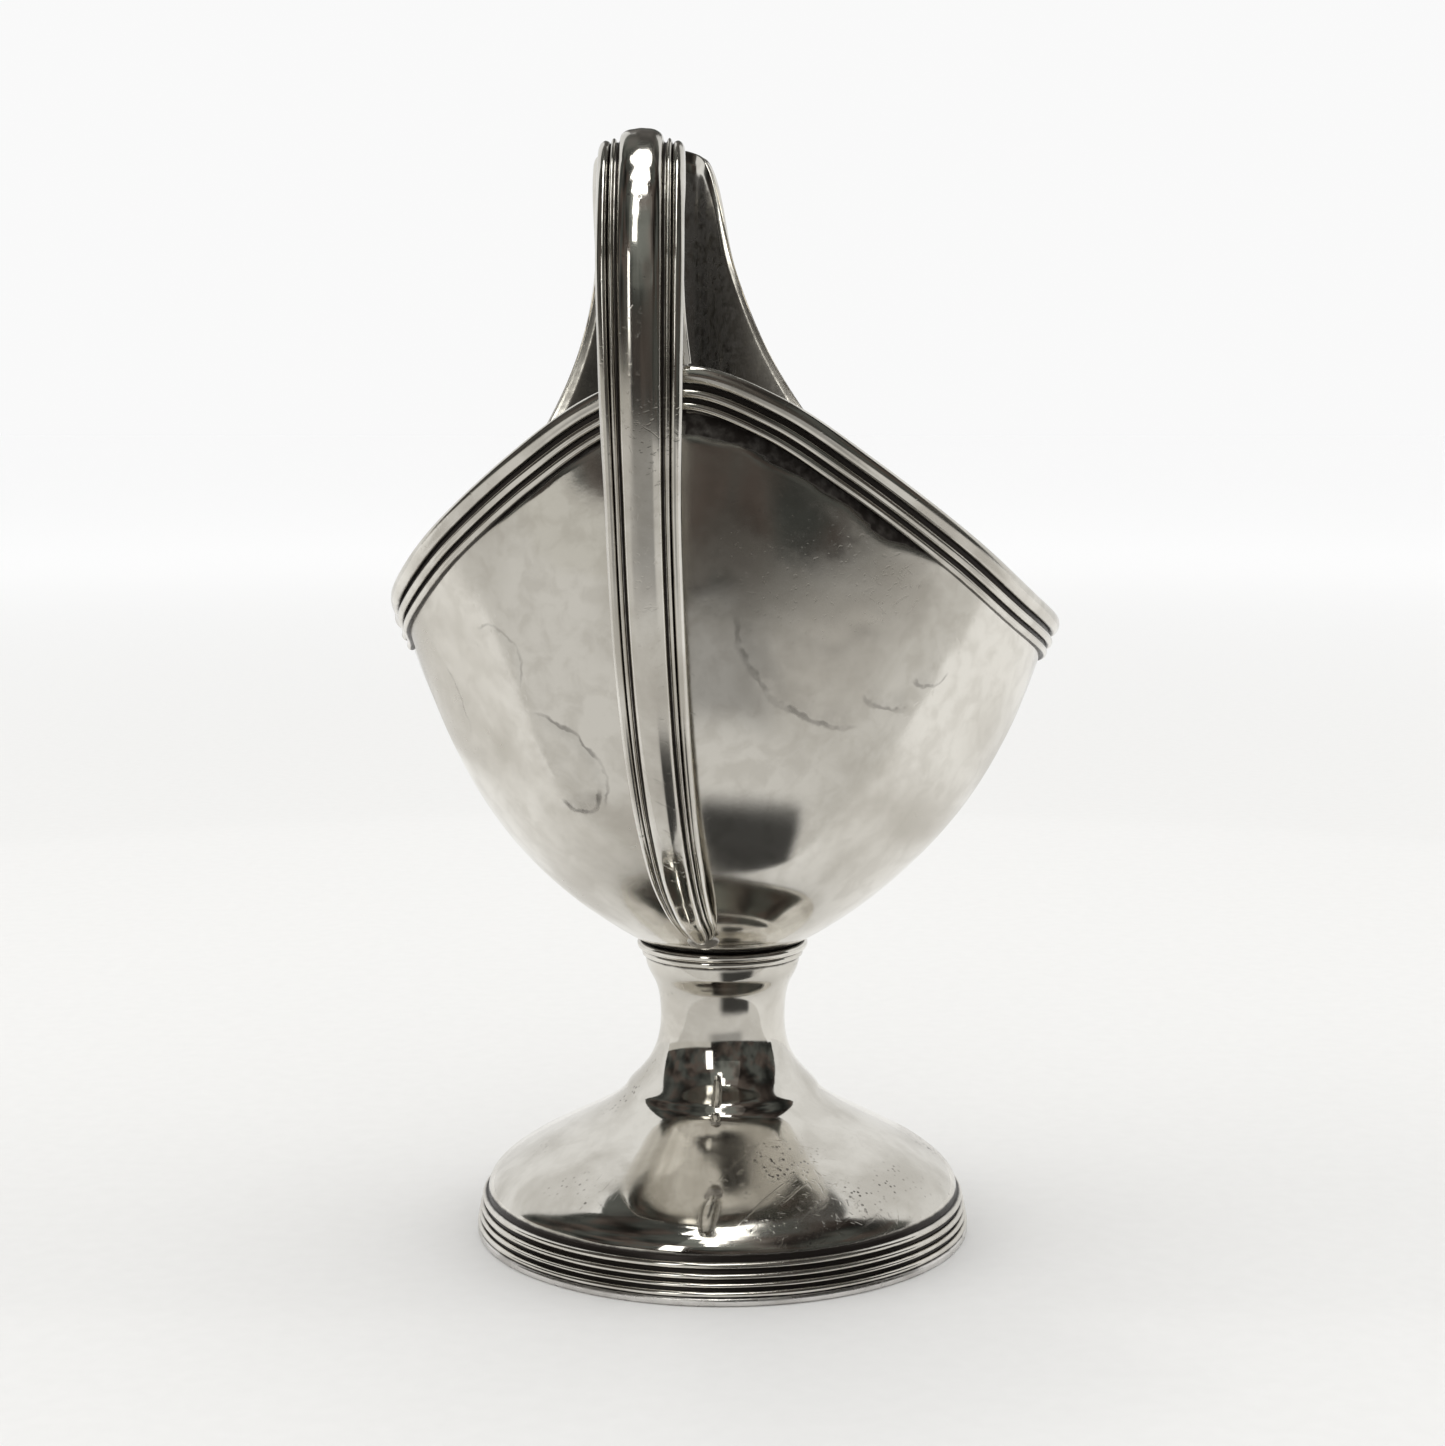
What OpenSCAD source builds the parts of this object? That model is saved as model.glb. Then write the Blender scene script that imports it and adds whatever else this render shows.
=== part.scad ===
// Helmet-shaped cream jug in sheet silver: a raised bowl with a reeded rim band, a reeded strap
// handle, a collar, and a raised pedestal with a reeded foot edge.
// Millimetres. Origin: centre of the ring that the foot rests on. +Z up, spout +Y, handle -Y.

/* [Bowl] */
// Half width of the bowl at the low sides of its rim
bowl_half_w = 40.2; // [37:0.1:44]
// Distance of the rim's back peak from the axis
back_reach = 33; // [30:0.5:36]
// Height of the rim's back peak
back_top = 107.7; // [104:0.1:112]
// Height of the rim's low sides
side_low = 76.6; // [73:0.5:81]
// Thickness of the bowl's wall
bowl_wall = 0.8; // [0.6:0.1:1.2]
// How far the belly swells out above the collar
belly = 22; // [17:0.5:26]
// Sideways bow of the bowl's long axis for each millimetre from the middle to the back
back_bow = 0.15; // [0:0.01:0.18]
// Sideways bow of the bowl's long axis for each millimetre from the middle to the spout
spout_bow = 0.21; // [0:0.01:0.24]
// How far the belly drifts against the bow
belly_drift = 0.6; // [0:0.1:1]
// Angle by which the rim dips towards +X
rim_tilt = 1.0; // [0:0.1:3]

/* [Spout] */
// Distance of the spout's tip from the axis
spout_reach = 57; // [52:0.5:62]
// Height of the spout's tip
spout_top = 138.6; // [132:0.1:144]
// Half width of the spout at the corners of its lip
lip_half_w = 8; // [6:0.1:9]

/* [Rim band] */
// Width of the applied reeded band, across its reeds
band_w = 4.9; // [4:0.1:6]
// Height of the widest reed above the bowl's surface
band_proud = 1.2; // [0.9:0.1:1.5]

/* [Handle] */
// Width of the strap at the top of the loop
strap_w = 8.8; // [8:0.1:11]
// Thickness of the strap along its middle
strap_t = 2.6; // [2:0.1:3.2]
// How far the handle stands to one side of the foot's axis
handle_offset = 8.2; // [0:0.1:9]

/* [Foot and stem] */
// Radius of the foot at its resting edge
foot_r = 31; // [28:0.5:34]
// Radius of the stem at its waist
waist_r = 7.8; // [7:0.1:9]
// Height of the stem's top flange
stem_top = 36; // [34:0.5:38]
// Height of the reeded foot edge
reeded_h = 5.5; // [4.5:0.1:6.5]
// Thickness of the pedestal's wall
stem_wall = 0.9; // [0.7:0.1:1.2]

/* [Hidden] */

// Fineness of the built surfaces
rim_steps = 4;
wall_rows = 20;
strap_steps = 4;
reed_steps = 6;
lathe_fn = 96;

// Heights of the joint between the stem and the bowl
flange_t = 0.8;
collar_t = 1.1;
collar_r = 10.7;
solder_t = 0.15;
bowl_base = stem_top + collar_t + solder_t;
bowl_base_r = 10.3;

// ---------- small vector helpers ----------
function unit(v) = v / norm(v);
function mirror_x(p) = [-p.x, p.y, p.z];
function mix(a, b, t) = a + (b - a) * t;

// One point of a smooth curve through b and c, with a and d as the neighbours
function curve_point(a, b, c, d, t) =
    0.5 * (2 * b + (c - a) * t + (2 * a - 5 * b + 4 * c - d) * t * t
           + (3 * b - a - 3 * c + d) * t * t * t);

// One point of a cubic with ends a and d and handles b and c
function bezier(a, b, c, d, t) =
    a * pow(1 - t, 3) + 3 * b * t * pow(1 - t, 2) + 3 * c * t * t * (1 - t) + d * pow(t, 3);

// Slope of the same cubic
function bezier_slope(a, b, c, d, t) =
    3 * (b - a) * pow(1 - t, 2) + 6 * (c - b) * t * (1 - t) + 3 * (d - c) * t * t;

// ---------- rim line ----------
// Stations from the back peak, round one side, to the spout's tip
rim_drop = back_top - side_low;
rim_rise = spout_top - side_low;
rim_half = [
    [0, -back_reach, back_top],
    [0.26 * bowl_half_w, -0.966 * back_reach, side_low + 0.89 * rim_drop],
    [0.50 * bowl_half_w, -0.866 * back_reach, side_low + 0.68 * rim_drop],
    [0.76 * bowl_half_w, -0.65 * back_reach, side_low + 0.405 * rim_drop],
    [0.93 * bowl_half_w, -0.37 * back_reach, side_low + 0.175 * rim_drop],
    [bowl_half_w, 0, side_low + 0.045 * rim_drop],
    [0.985 * bowl_half_w, 0.13 * spout_reach, side_low],
    [0.90 * bowl_half_w, 0.27 * spout_reach, side_low + 0.03 * rim_rise],
    [0.72 * bowl_half_w, 0.41 * spout_reach, side_low + 0.14 * rim_rise],
    [0.49 * bowl_half_w, 0.53 * spout_reach, side_low + 0.34 * rim_rise],
    [1.64 * lip_half_w, 0.64 * spout_reach, side_low + 0.53 * rim_rise],
    [1.17 * lip_half_w, 0.75 * spout_reach, side_low + 0.73 * rim_rise],
    [lip_half_w, 0.89 * spout_reach, side_low + 0.945 * rim_rise],
    [0.74 * lip_half_w, 0.965 * spout_reach, side_low + 0.998 * rim_rise],
    [0, spout_reach, spout_top]
];
half_count = len(rim_half);
rim_stations = concat(rim_half, [for (i = [half_count - 2:-1:1]) mirror_x(rim_half[i])]);
station_count = len(rim_stations);
function station(i) = rim_stations[(i + station_count) % station_count];
function tilted(p) = [p.x, p.y, p.z - tan(rim_tilt) * p.x];
rim_line = [
    for (i = [0:station_count - 1], j = [0:rim_steps - 1])
        tilted(curve_point(station(i - 1), station(i), station(i + 1), station(i + 2), j / rim_steps))
];
rim_count = len(rim_line);

// ---------- bowl wall ----------
// Each meridian runs from the base circle up to one point of the rim line
side_flare = 17;
back_flare = -6;
spout_flare = 23;
base_rise = 29;
top_pull = 0.36;
belly_power = 0.65;
side_height = side_low - bowl_base;

function plan_dir(p) = unit([p.x, p.y, 0]);
function flare_at(p) =
    let (c = -plan_dir(p).y)
    side_flare * (1 - c * c) + (c > 0 ? back_flare : spout_flare) * c * c;
function meridian(p) =
    let (
        out = plan_dir(p),
        tall = p.z - bowl_base,
        foot = bowl_base_r * out + [0, 0, bowl_base],
        swell = belly * pow(tall / side_height, belly_power),
        flare = flare_at(p)
    )
    [
        foot,
        foot + swell * (cos(base_rise) * out + [0, 0, sin(base_rise)]),
        p - top_pull * tall * (sin(flare) * out + [0, 0, cos(flare)]),
        p
    ];
meridians = [for (p = rim_line) meridian(p)];
function wall_point(i, t) =
    let (m = meridians[(i + rim_count) % rim_count])
    bezier(m[0], m[1], m[2], m[3], t);
function wall_up(i, t) =
    let (m = meridians[(i + rim_count) % rim_count])
    bezier_slope(m[0], m[1], m[2], m[3], t);
function wall_normal(i, t) = unit(cross(wall_point(i + 1, t) - wall_point(i - 1, t), wall_up(i, t)));

// The long axis bows to one side. The bow grows up the wall, because the base circle stays true.
bow_round = 3;
bow_height = 20;
function drift(y) = belly_drift - (y > 0 ? spout_bow : back_bow) * (norm([y, bow_round]) - bow_round);
function bowed(p) =
    let (u = min(1, max(0, p.z - bowl_base) / bow_height))
    [p.x + drift(p.y) * u * u * (3 - 2 * u), p.y, p.z];

// Quads between two neighbouring rings of n points, as triangles
function ring_faces(a, b, n) = [
    for (i = [0:n - 1])
        let (j = (i + 1) % n)
        each [[a + i, b + i, b + j], [a + i, b + j, a + j]]
];

// ---------- rim band ----------
// Reeds from the rim downwards: [start, width, height] as shares of the band
reeds = [[0, 0.46, 1], [0.46, 0.31, 0.85], [0.77, 0.23, 0.65]];
reed_floor = 0.3;
band_over = 0.25;
// Outline of the band: distance down from the rim, distance out from the wall
band_outline = concat(
    [
        for (i = [0:len(reeds) - 1], k = [i == 0 ? 0 : 1:reed_steps])
            let (r = reeds[i])
            [
                band_w * (r[0] + r[1] * (1 - cos(180 * k / reed_steps)) / 2) - band_over,
                band_proud * (reed_floor + (r[2] - reed_floor) * sin(180 * k / reed_steps))
            ]
    ],
    [[band_w - band_over, 0], [-band_over, 0]]
);
function band_point(i, q) =
    let (
        m = meridians[i],
        along = unit(rim_line[(i + 1) % rim_count] - rim_line[(i + rim_count - 1) % rim_count]),
        up = unit(m[3] - m[2]),
        skew = norm(cross(along, up)),
        t = 1 - q[0] / skew / (3 * norm(m[3] - m[2]))
    )
    bowed(wall_point(i, t) + q[1] * wall_normal(i, min(t, 1)));

// ---------- handle ----------
// Middle of the strap from the back peak, over the loop, to the tail: shares of the handle's
// offset, of the back peak's reach, of its height above the bowl's base, and of the strap's width
strap_shares = [
    [0.84, 1.012, 1.001, 0.80],
    [0.94, 1.048, 1.087, 0.84],
    [1.00, 1.139, 1.188, 0.92],
    [1.00, 1.291, 1.276, 0.98],
    [1.00, 1.503, 1.319, 1.00],
    [1.00, 1.715, 1.275, 1.00],
    [1.00, 1.855, 1.152, 1.00],
    [0.99, 1.903, 0.988, 0.95],
    [0.97, 1.873, 0.814, 0.88],
    [0.93, 1.764, 0.638, 0.86],
    [0.86, 1.576, 0.469, 0.83],
    [0.76, 1.333, 0.321, 0.78],
    [0.63, 1.061, 0.201, 0.71],
    [0.49, 0.803, 0.118, 0.62],
    [0.37, 0.606, 0.071, 0.53],
    [0.28, 0.467, 0.037, 0.36]
];
strap_stations = [
    for (s = strap_shares)
        [-s[0] * handle_offset, -s[1] * back_reach, bowl_base + s[2] * (back_top - bowl_base), s[3]]
];
strap_last = len(strap_stations) - 1;
function strap_station(i) =
    i < 0 ? 2 * strap_stations[0] - strap_stations[1]
    : i > strap_last ? 2 * strap_stations[strap_last] - strap_stations[strap_last - 1]
    : strap_stations[i];
strap_line = [
    for (i = [0:strap_last - 1], j = [0:strap_steps - 1])
        curve_point(strap_station(i - 1), strap_station(i), strap_station(i + 1), strap_station(i + 2),
                    j / strap_steps),
    strap_stations[strap_last]
];
strap_count = len(strap_line);
function xyz(p) = [p.x, p.y, p.z];
function strap_along(i) =
    unit(xyz(strap_line[min(i + 1, strap_count - 1)]) - xyz(strap_line[max(i - 1, 0)]));

// Half outline of the strap's outer face: [share of half width, share of thickness]
strap_face = [
    [0.00, 0.62], [0.16, 0.60], [0.30, 0.54], [0.42, 0.45], [0.50, 0.32],
    [0.54, 0.14], [0.58, 0.23], [0.64, 0.28], [0.70, 0.20], [0.74, 0.02],
    [0.79, 0.09], [0.87, 0.10], [0.94, 0.00], [0.99, -0.16], [1.00, -0.30]
];
strap_back = [[0.92, -0.40], [0.5, -0.40]];
strap_outline = concat(
    strap_face,
    strap_back,
    [[0, -0.40]],
    [for (i = [len(strap_back) - 1:-1:0]) [-strap_back[i].x, strap_back[i].y]],
    [for (i = [len(strap_face) - 1:-1:1]) [-strap_face[i].x, strap_face[i].y]]
);
strap_min_t = 0.42;
function strap_point(i, q) =
    let (
        p = strap_line[i],
        along = strap_along(i),
        across = unit(along.x * along - [1, 0, 0]),
        out = cross(across, along),
        thick = strap_t * mix(strap_min_t, 1, p[3])
    )
    xyz(p) + q.x * strap_w * p[3] / 2 * across + q.y * thick * out;

// ---------- lathe outlines ----------
skirt_r = foot_r - 1.4;
dome_edge = [skirt_r, reeded_h + 0.1];
shoulder = [12.1, 18.2];
waist = [waist_r, 27];
neck = [9.7, stem_top - flange_t];
base_ring_h = 1.1;
flange_r = 10.1;
// Outer line of the pedestal from the foot's edge, over the dome and up the stem
pedestal_line = concat(
    [for (k = [0:14]) bezier(dome_edge, [skirt_r - 0.3, reeded_h + 4.4], [13.8, 14.6], shoulder, k / 14)],
    [for (k = [1:8]) bezier(shoulder, [11.4, 19.6], [waist.x, 21.2], waist, k / 8)],
    [for (k = [1:8]) bezier(waist, [waist.x, 33], [9.4, 31.8], neck, k / 8)]
);
line_last = len(pedestal_line) - 1;
function line_slope(k) = unit(pedestal_line[min(k + 1, line_last)] - pedestal_line[max(k - 1, 0)]);
pedestal_inner = [
    for (k = [line_last:-1:0])
        pedestal_line[k] - stem_wall * [line_slope(k).y, -line_slope(k).x]
];

// Beads of the foot's edge from the top: share of height, radius short of the foot's
foot_beads = [[0.29, 0.65], [0.26, 0.4], [0.21, 0.2], [0.24, 0]];
bead_groove = 0.55;
bead_span = reeded_h - base_ring_h;
function bead_start(i) = i == 0 ? 0 : bead_start(i - 1) + foot_beads[i - 1][0];
foot_bead_line = [
    for (i = [0:len(foot_beads) - 1], k = [0:reed_steps])
        [
            foot_r - foot_beads[i][1] - bead_groove * (1 - sin(180 * k / reed_steps)),
            reeded_h - bead_span * (bead_start(i) + foot_beads[i][0] * (1 - cos(180 * k / reed_steps)) / 2)
        ]
];

// ---------- sub-parts ----------
// Raised bowl: one closed shell of even wall, with its open edge at the rim line
module bowl() {
    rows = [for (k = [0:wall_rows]) k / wall_rows];
    outer = [for (t = rows, i = [0:rim_count - 1]) bowed(wall_point(i, t))];
    inner = [
        for (t = rows, i = [0:rim_count - 1])
            let (n = t == 0 ? [0, 0, -1] : wall_normal(i, t))
            bowed(wall_point(i, t) - bowl_wall * n - (t == 0 ? 0.8 * unit(plan_dir(rim_line[i])) : [0, 0, 0]))
    ];
    inner_start = len(outer);
    outer_pole = 2 * inner_start;
    top = wall_rows * rim_count;
    faces = concat(
        [for (k = [0:wall_rows - 1]) each ring_faces(k * rim_count, (k + 1) * rim_count, rim_count)],
        [
            for (k = [0:wall_rows - 1])
                each ring_faces(inner_start + (k + 1) * rim_count, inner_start + k * rim_count, rim_count)
        ],
        ring_faces(top, inner_start + top, rim_count),
        [for (i = [0:rim_count - 1]) [outer_pole, i, (i + 1) % rim_count]],
        [for (i = [0:rim_count - 1]) [outer_pole + 1, inner_start + (i + 1) % rim_count, inner_start + i]]
    );
    color("silver")
        polyhedron(concat(outer, inner, [[0, 0, bowl_base], [0, 0, bowl_base + bowl_wall]]), faces);
}

// Reeded band soldered round the outside of the rim
module rim_band() {
    n = len(band_outline);
    points = [for (i = [0:rim_count - 1], q = band_outline) band_point(i, q)];
    faces = [for (i = [0:rim_count - 1]) each ring_faces(i * n, ((i + 1) % rim_count) * n, n)];
    color("gainsboro") polyhedron(points, faces);
}

// Strap handle with a crowned middle between two reeds and two edge beads
module handle() {
    n = len(strap_outline);
    points = [for (i = [0:strap_count - 1], q = strap_outline) strap_point(i, q)];
    faces = concat(
        [for (i = [0:strap_count - 2]) each ring_faces(i * n, (i + 1) * n, n)],
        [[for (k = [0:n - 1]) k]],
        [[for (k = [n - 1:-1:0]) (strap_count - 1) * n + k]]
    );
    color("lightgray") polyhedron(points, faces);
}

// Solder that fills the seam between the handle's root and the top of the rim
module handle_top_solder() {
    root = strap_stations[0];
    seam_w = 0.92 * strap_w * root[3];
    seam_t = bowl_wall + 0.9;
    root_tilt = 9;
    color("darkgray")
        translate([root.x, root.y + 0.1, root.z])
        rotate([0, -root_tilt, 0])
        translate([0, 0, -0.9])
        linear_extrude(1)
        square([seam_w, seam_t], center = true);
}

// Solder that fills the seam under the handle's tail
module handle_tail_solder() {
    tail = strap_stations[strap_last];
    color("darkgray")
        translate([tail.x, tail.y + 0.2, tail.z + 0.4])
        rotate([180 - 47, 0, 0])
        cylinder(h = 0.8, r = 1.2, center = true, $fn = 32);
}

// Ring between the stem's flange and the bowl, with a rounded edge
module collar_ring() {
    edge = collar_t / 2;
    bore = waist_r;
    color("gainsboro")
        translate([0, 0, stem_top])
        rotate_extrude($fn = lathe_fn)
        polygon(concat(
            [[bore, 0]],
            [for (k = [0:reed_steps]) [collar_r - edge + edge * sin(180 * k / reed_steps),
                                       edge * (1 - cos(180 * k / reed_steps))]],
            [[bore, collar_t]]
        ));
}

// Solder between the collar ring and the bowl's base
module bowl_seat_solder() {
    color("darkgray")
        translate([0, 0, stem_top + collar_t])
        difference() {
            cylinder(h = solder_t, r = bowl_base_r - 0.2, $fn = lathe_fn);
            translate([0, 0, -1]) cylinder(h = solder_t + 2, r = waist_r, $fn = lathe_fn);
        }
}

// Domed foot and spool stem, raised in one piece and hollow
module pedestal() {
    color("silver")
        rotate_extrude($fn = lathe_fn)
        polygon(concat(
            [[skirt_r, base_ring_h]],
            pedestal_line,
            [[flange_r, stem_top - flange_t], [flange_r, stem_top], [neck.x - stem_wall, stem_top]],
            pedestal_inner,
            [[skirt_r - stem_wall, base_ring_h]]
        ));
}

// Reeded wire soldered round the foot's skirt
module foot_reeded_band() {
    color("gainsboro")
        rotate_extrude($fn = lathe_fn)
        polygon(concat([[skirt_r, reeded_h]], foot_bead_line, [[skirt_r, base_ring_h]]));
}

// Plain ring that the jug rests on
module foot_base_ring() {
    color("lightgray")
        difference() {
            cylinder(h = base_ring_h, r = foot_r, $fn = lathe_fn);
            translate([0, 0, -1]) cylinder(h = base_ring_h + 2, r = skirt_r - stem_wall, $fn = lathe_fn);
        }
}

bowl();
rim_band();
handle();
handle_top_solder();
handle_tail_solder();
collar_ring();
bowl_seat_solder();
pedestal();
foot_reeded_band();
foot_base_ring();
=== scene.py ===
"""Helmet-shaped cream jug in old sheet silver, dressed for a studio picture.

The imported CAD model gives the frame. Every node of it is replaced by a finer piece on the same
sizes: the raised bowl with its small dents, the reeded rim band, the reeded strap handle, the
collar, the hollow pedestal and the reeded foot edge. Sizes are in millimetres in the classes and
become metres when a mesh is made. +Z is up, the spout points to +Y and the handle to -Y.
"""

import logging
import math
from collections.abc import Callable, Mapping, Sequence
from dataclasses import dataclass, field
from enum import Enum

import bmesh
import bpy
from mathutils import Euler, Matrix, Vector, noise


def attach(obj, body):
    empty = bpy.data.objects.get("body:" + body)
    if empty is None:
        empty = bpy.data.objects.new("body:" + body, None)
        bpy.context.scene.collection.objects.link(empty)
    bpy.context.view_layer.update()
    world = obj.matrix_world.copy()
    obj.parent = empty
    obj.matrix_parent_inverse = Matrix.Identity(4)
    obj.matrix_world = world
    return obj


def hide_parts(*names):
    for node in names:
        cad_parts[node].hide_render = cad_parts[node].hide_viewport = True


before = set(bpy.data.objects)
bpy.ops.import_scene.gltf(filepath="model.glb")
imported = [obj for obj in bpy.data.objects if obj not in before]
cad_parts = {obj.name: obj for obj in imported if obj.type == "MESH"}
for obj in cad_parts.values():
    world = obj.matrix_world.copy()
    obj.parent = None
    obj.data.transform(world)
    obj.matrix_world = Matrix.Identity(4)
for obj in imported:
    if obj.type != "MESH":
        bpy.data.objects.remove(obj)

log = logging.getLogger("cream_jug")

MM = 0.001
TARNISH_AND_SHADE_LAYER = "groove"
UP = Vector((0.0, 0.0, 1.0))
MERGE_DISTANCE = 1e-4
SHARP_ANGLE = 50.0
BEAD_STEPS = 12

Mesh = bmesh.types.BMesh
Piece = bpy.types.Object
Material = bpy.types.Material
Socket = bpy.types.NodeSocket
Value = Socket | float
Feed = Value | Sequence[float]
Pair = tuple[float, float]
Triple = tuple[float, float, float]
Colour = tuple[float, float, float, float]
Spot = tuple[Vector, float]
Outline = list[Triple]


class Slot(Enum):
    """Material slots of the record."""

    RAISED = "raised_silver"
    REEDED = "reeded_silver"
    STRAP = "strap_silver"
    SOLDER = "silver_solder"
    COLLAR = "collar_silver"
    PEDESTAL = "pedestal_silver"
    BASE = "base_silver"


class DentKind(Enum):
    """Shapes of the marks in the raised sheet."""

    HOLLOW = "hollow"
    CRESCENT = "crescent"
    CREASE = "crease"


# ---- curves


def cubic(a: Vector, b: Vector, c: Vector, d: Vector, t: float) -> Vector:
    """The point at share t of a cubic with ends a and d and handles b and c."""
    s = 1.0 - t
    return a * s**3 + b * (3 * t * s * s) + c * (3 * t * t * s) + d * t**3


def cubic_slope(a: Vector, b: Vector, c: Vector, d: Vector, t: float) -> Vector:
    """The derivative at share t of a cubic with ends a and d and handles b and c."""
    s = 1.0 - t
    return (b - a) * (3 * s * s) + (c - b) * (6 * t * s) + (d - c) * (3 * t * t)


def through(a: Vector, b: Vector, c: Vector, d: Vector, t: float) -> Vector:
    """The point at share t of a smooth curve from b to c, with a and d as the neighbours."""
    square, cube = 2 * a - 5 * b + 4 * c - d, 3 * b - a - 3 * c + d
    return 0.5 * (2 * b + (c - a) * t + square * t**2 + cube * t**3)


def smooth_run(points: Sequence[Vector], steps: int) -> list[Vector]:
    """A smooth open line through a few points.

    Args:
        points: The points in order.
        steps: Pieces that each span is cut into.

    Returns:
        The points of the finer line, both ends included.
    """
    last = len(points) - 1
    line = []
    for i in range(last):
        a = points[i - 1] if i else points[0] * 2 - points[1]
        d = points[i + 2] if i + 2 <= last else points[last] * 2 - points[last - 1]
        line += [through(a, points[i], points[i + 1], d, k / steps) for k in range(steps)]
    return [*line, points[last].copy()]


def smooth_step(low: float, high: float, x: float) -> float:
    """Share from 0 at low to 1 at high, with soft ends."""
    t = min(1.0, max(0.0, (x - low) / (high - low)))
    return t * t * (3 - 2 * t)


def half_turn(steps: int) -> list[float]:
    """Angles from 0 to half a turn, both ends included."""
    return [math.pi * k / steps for k in range(steps + 1)]


def radians(angles: Triple) -> list[float]:
    """Three angles in degrees as radians."""
    return [math.radians(angle) for angle in angles]


# ---- meshes


def new_mesh() -> Mesh:
    """An empty bmesh with a layer for how deep in a groove each vertex lies, which also carries
    painted shade.
    """
    bm = bmesh.new()
    bm.verts.layers.float.new(TARNISH_AND_SHADE_LAYER)
    return bm


def closed(bm: Mesh) -> Mesh:
    """The same bmesh with its seams and poles closed and its faces outwards."""
    bmesh.ops.remove_doubles(bm, verts=bm.verts, dist=MERGE_DISTANCE)
    bmesh.ops.recalc_face_normals(bm, faces=bm.faces)
    return bm


def sheet(columns: int, rows: int, place: Callable[[int, int], Spot]) -> Mesh:
    """A grid bent into a surface.

    Args:
        columns: Cells along the first direction.
        rows: Cells along the second direction.
        place: Gives the position in millimetres and the groove value of a grid point.

    Returns:
        The bmesh, in millimetres.
    """
    bm = new_mesh()
    made = bmesh.ops.create_grid(bm, x_segments=columns, y_segments=rows, size=1.0)["verts"]
    layer = bm.verts.layers.float[TARNISH_AND_SHADE_LAYER]
    for vert in made:
        i = round((vert.co.x + 1) / 2 * columns)
        j = round((vert.co.y + 1) / 2 * rows)
        vert.co, vert[layer] = place(i, j)
    return closed(bm)


def turned(outline: Outline, steps: int) -> Mesh:
    """A closed outline spun once round the jug's axis.

    Args:
        outline: Radius, height and groove value of each corner, in order round the outline.
        steps: Cells round the axis.

    Returns:
        The bmesh, in millimetres.
    """
    bm = new_mesh()
    layer = bm.verts.layers.float[TARNISH_AND_SHADE_LAYER]
    verts = []
    for radius, height, groove in outline:
        vert = bm.verts.new((radius, 0.0, height))
        vert[layer] = groove
        verts.append(vert)
    edges = [bm.edges.new((v, verts[(k + 1) % len(verts)])) for k, v in enumerate(verts)]
    bmesh.ops.spin(
        bm,
        geom=[*verts, *edges],
        cent=(0, 0, 0),
        axis=(0, 0, 1),
        angle=math.tau,
        steps=steps,
        use_merge=True,
    )
    return closed(bm)


def placed(bm: Mesh, name: str, material: Material) -> Piece:
    """Makes an object from a bmesh.

    Args:
        bm: The bmesh, in metres. It is freed.
        name: Name of the object.
        material: Its material.

    Returns:
        The object.
    """
    mesh = bpy.data.meshes.new(name)
    bm.to_mesh(mesh)
    bm.free()
    mesh.materials.append(material)
    made = bpy.data.objects.new(name, mesh)
    bpy.context.scene.collection.objects.link(made)
    return made


# ---- wear in the metal


@dataclass(frozen=True)
class Dent:
    """One mark in the raised sheet.

    Attributes:
        kind: Shape of the mark.
        centre: Middle of the mark.
        radius: Reach of the mark, or the radius of a crescent.
        depth: Depth at its deepest.
        turn: Heading of the open side of a crescent, or of a crease, in degrees.
        breadth: Half width of a crescent's or crease's line.
    """

    kind: DentKind
    centre: Triple
    radius: float
    depth: float
    turn: float = 0.0
    breadth: float = 1.0

    def sink(self, p: Vector) -> float:
        """How far the mark pushes the sheet in at a point.

        Args:
            p: The point.

        Returns:
            The depth there.
        """
        d = p - Vector(self.centre)
        far = d.length
        if far > self.radius * 2.6:
            return 0.0
        if self.kind is DentKind.HOLLOW:
            return self.depth * math.exp(-((far / self.radius) ** 2) * 1.6)
        heading = math.radians(self.turn)
        side = math.hypot(d.x, d.y) * (1 if d.x > 0 else -1)
        if self.kind is DentKind.CRESCENT:
            open_side = 0.5 - 0.5 * math.cos(math.atan2(d.z, side) - heading)
            return self.depth * math.exp(-(((far - self.radius) / self.breadth) ** 2)) * open_side
        along = side * math.cos(heading) + d.z * math.sin(heading)
        across = d.z * math.cos(heading) - side * math.sin(heading)
        bend = across - 0.18 * self.radius * math.sin(along / self.radius * 4.2)
        fade = math.exp(-((along / self.radius) ** 2) * 1.4)
        return self.depth * math.exp(-((bend / self.breadth) ** 2)) * fade


@dataclass(frozen=True)
class HandWork:
    """Unevenness left by raising and planishing, and by long use.

    Attributes:
        swell: Depth of the broad unevenness, and its size.
        planish: Depth of the hammer facets, and their size.
        dents: Single marks.
    """

    swell: Pair
    planish: Pair
    dents: tuple[Dent, ...] = ()

    def depth(self, p: Vector) -> float:
        """How far the sheet lies under its true line at a point.

        Args:
            p: The point.

        Returns:
            The depth there, below zero where the sheet stands proud.
        """
        depth = self.swell[0] * noise.noise(p / self.swell[1] + Vector((3.1, 7.7, 1.3)))
        depth += self.planish[0] * noise.noise(p / self.planish[1] + Vector((9.2, 0.4, 5.5)))
        return depth + sum(dent.sink(p) for dent in self.dents)

    def apply(self, bm: Mesh, is_worked: Callable[[Vector], bool] = lambda p: True) -> None:
        """Moves vertices along their normals.

        Args:
            bm: The bmesh, in millimetres.
            is_worked: Tells from its position whether a vertex may move.
        """
        bm.normal_update()
        moves = [(v, v.normal * self.depth(v.co)) for v in bm.verts if is_worked(v.co)]
        for vert, move in moves:
            vert.co -= move


# ---- finishes


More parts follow.
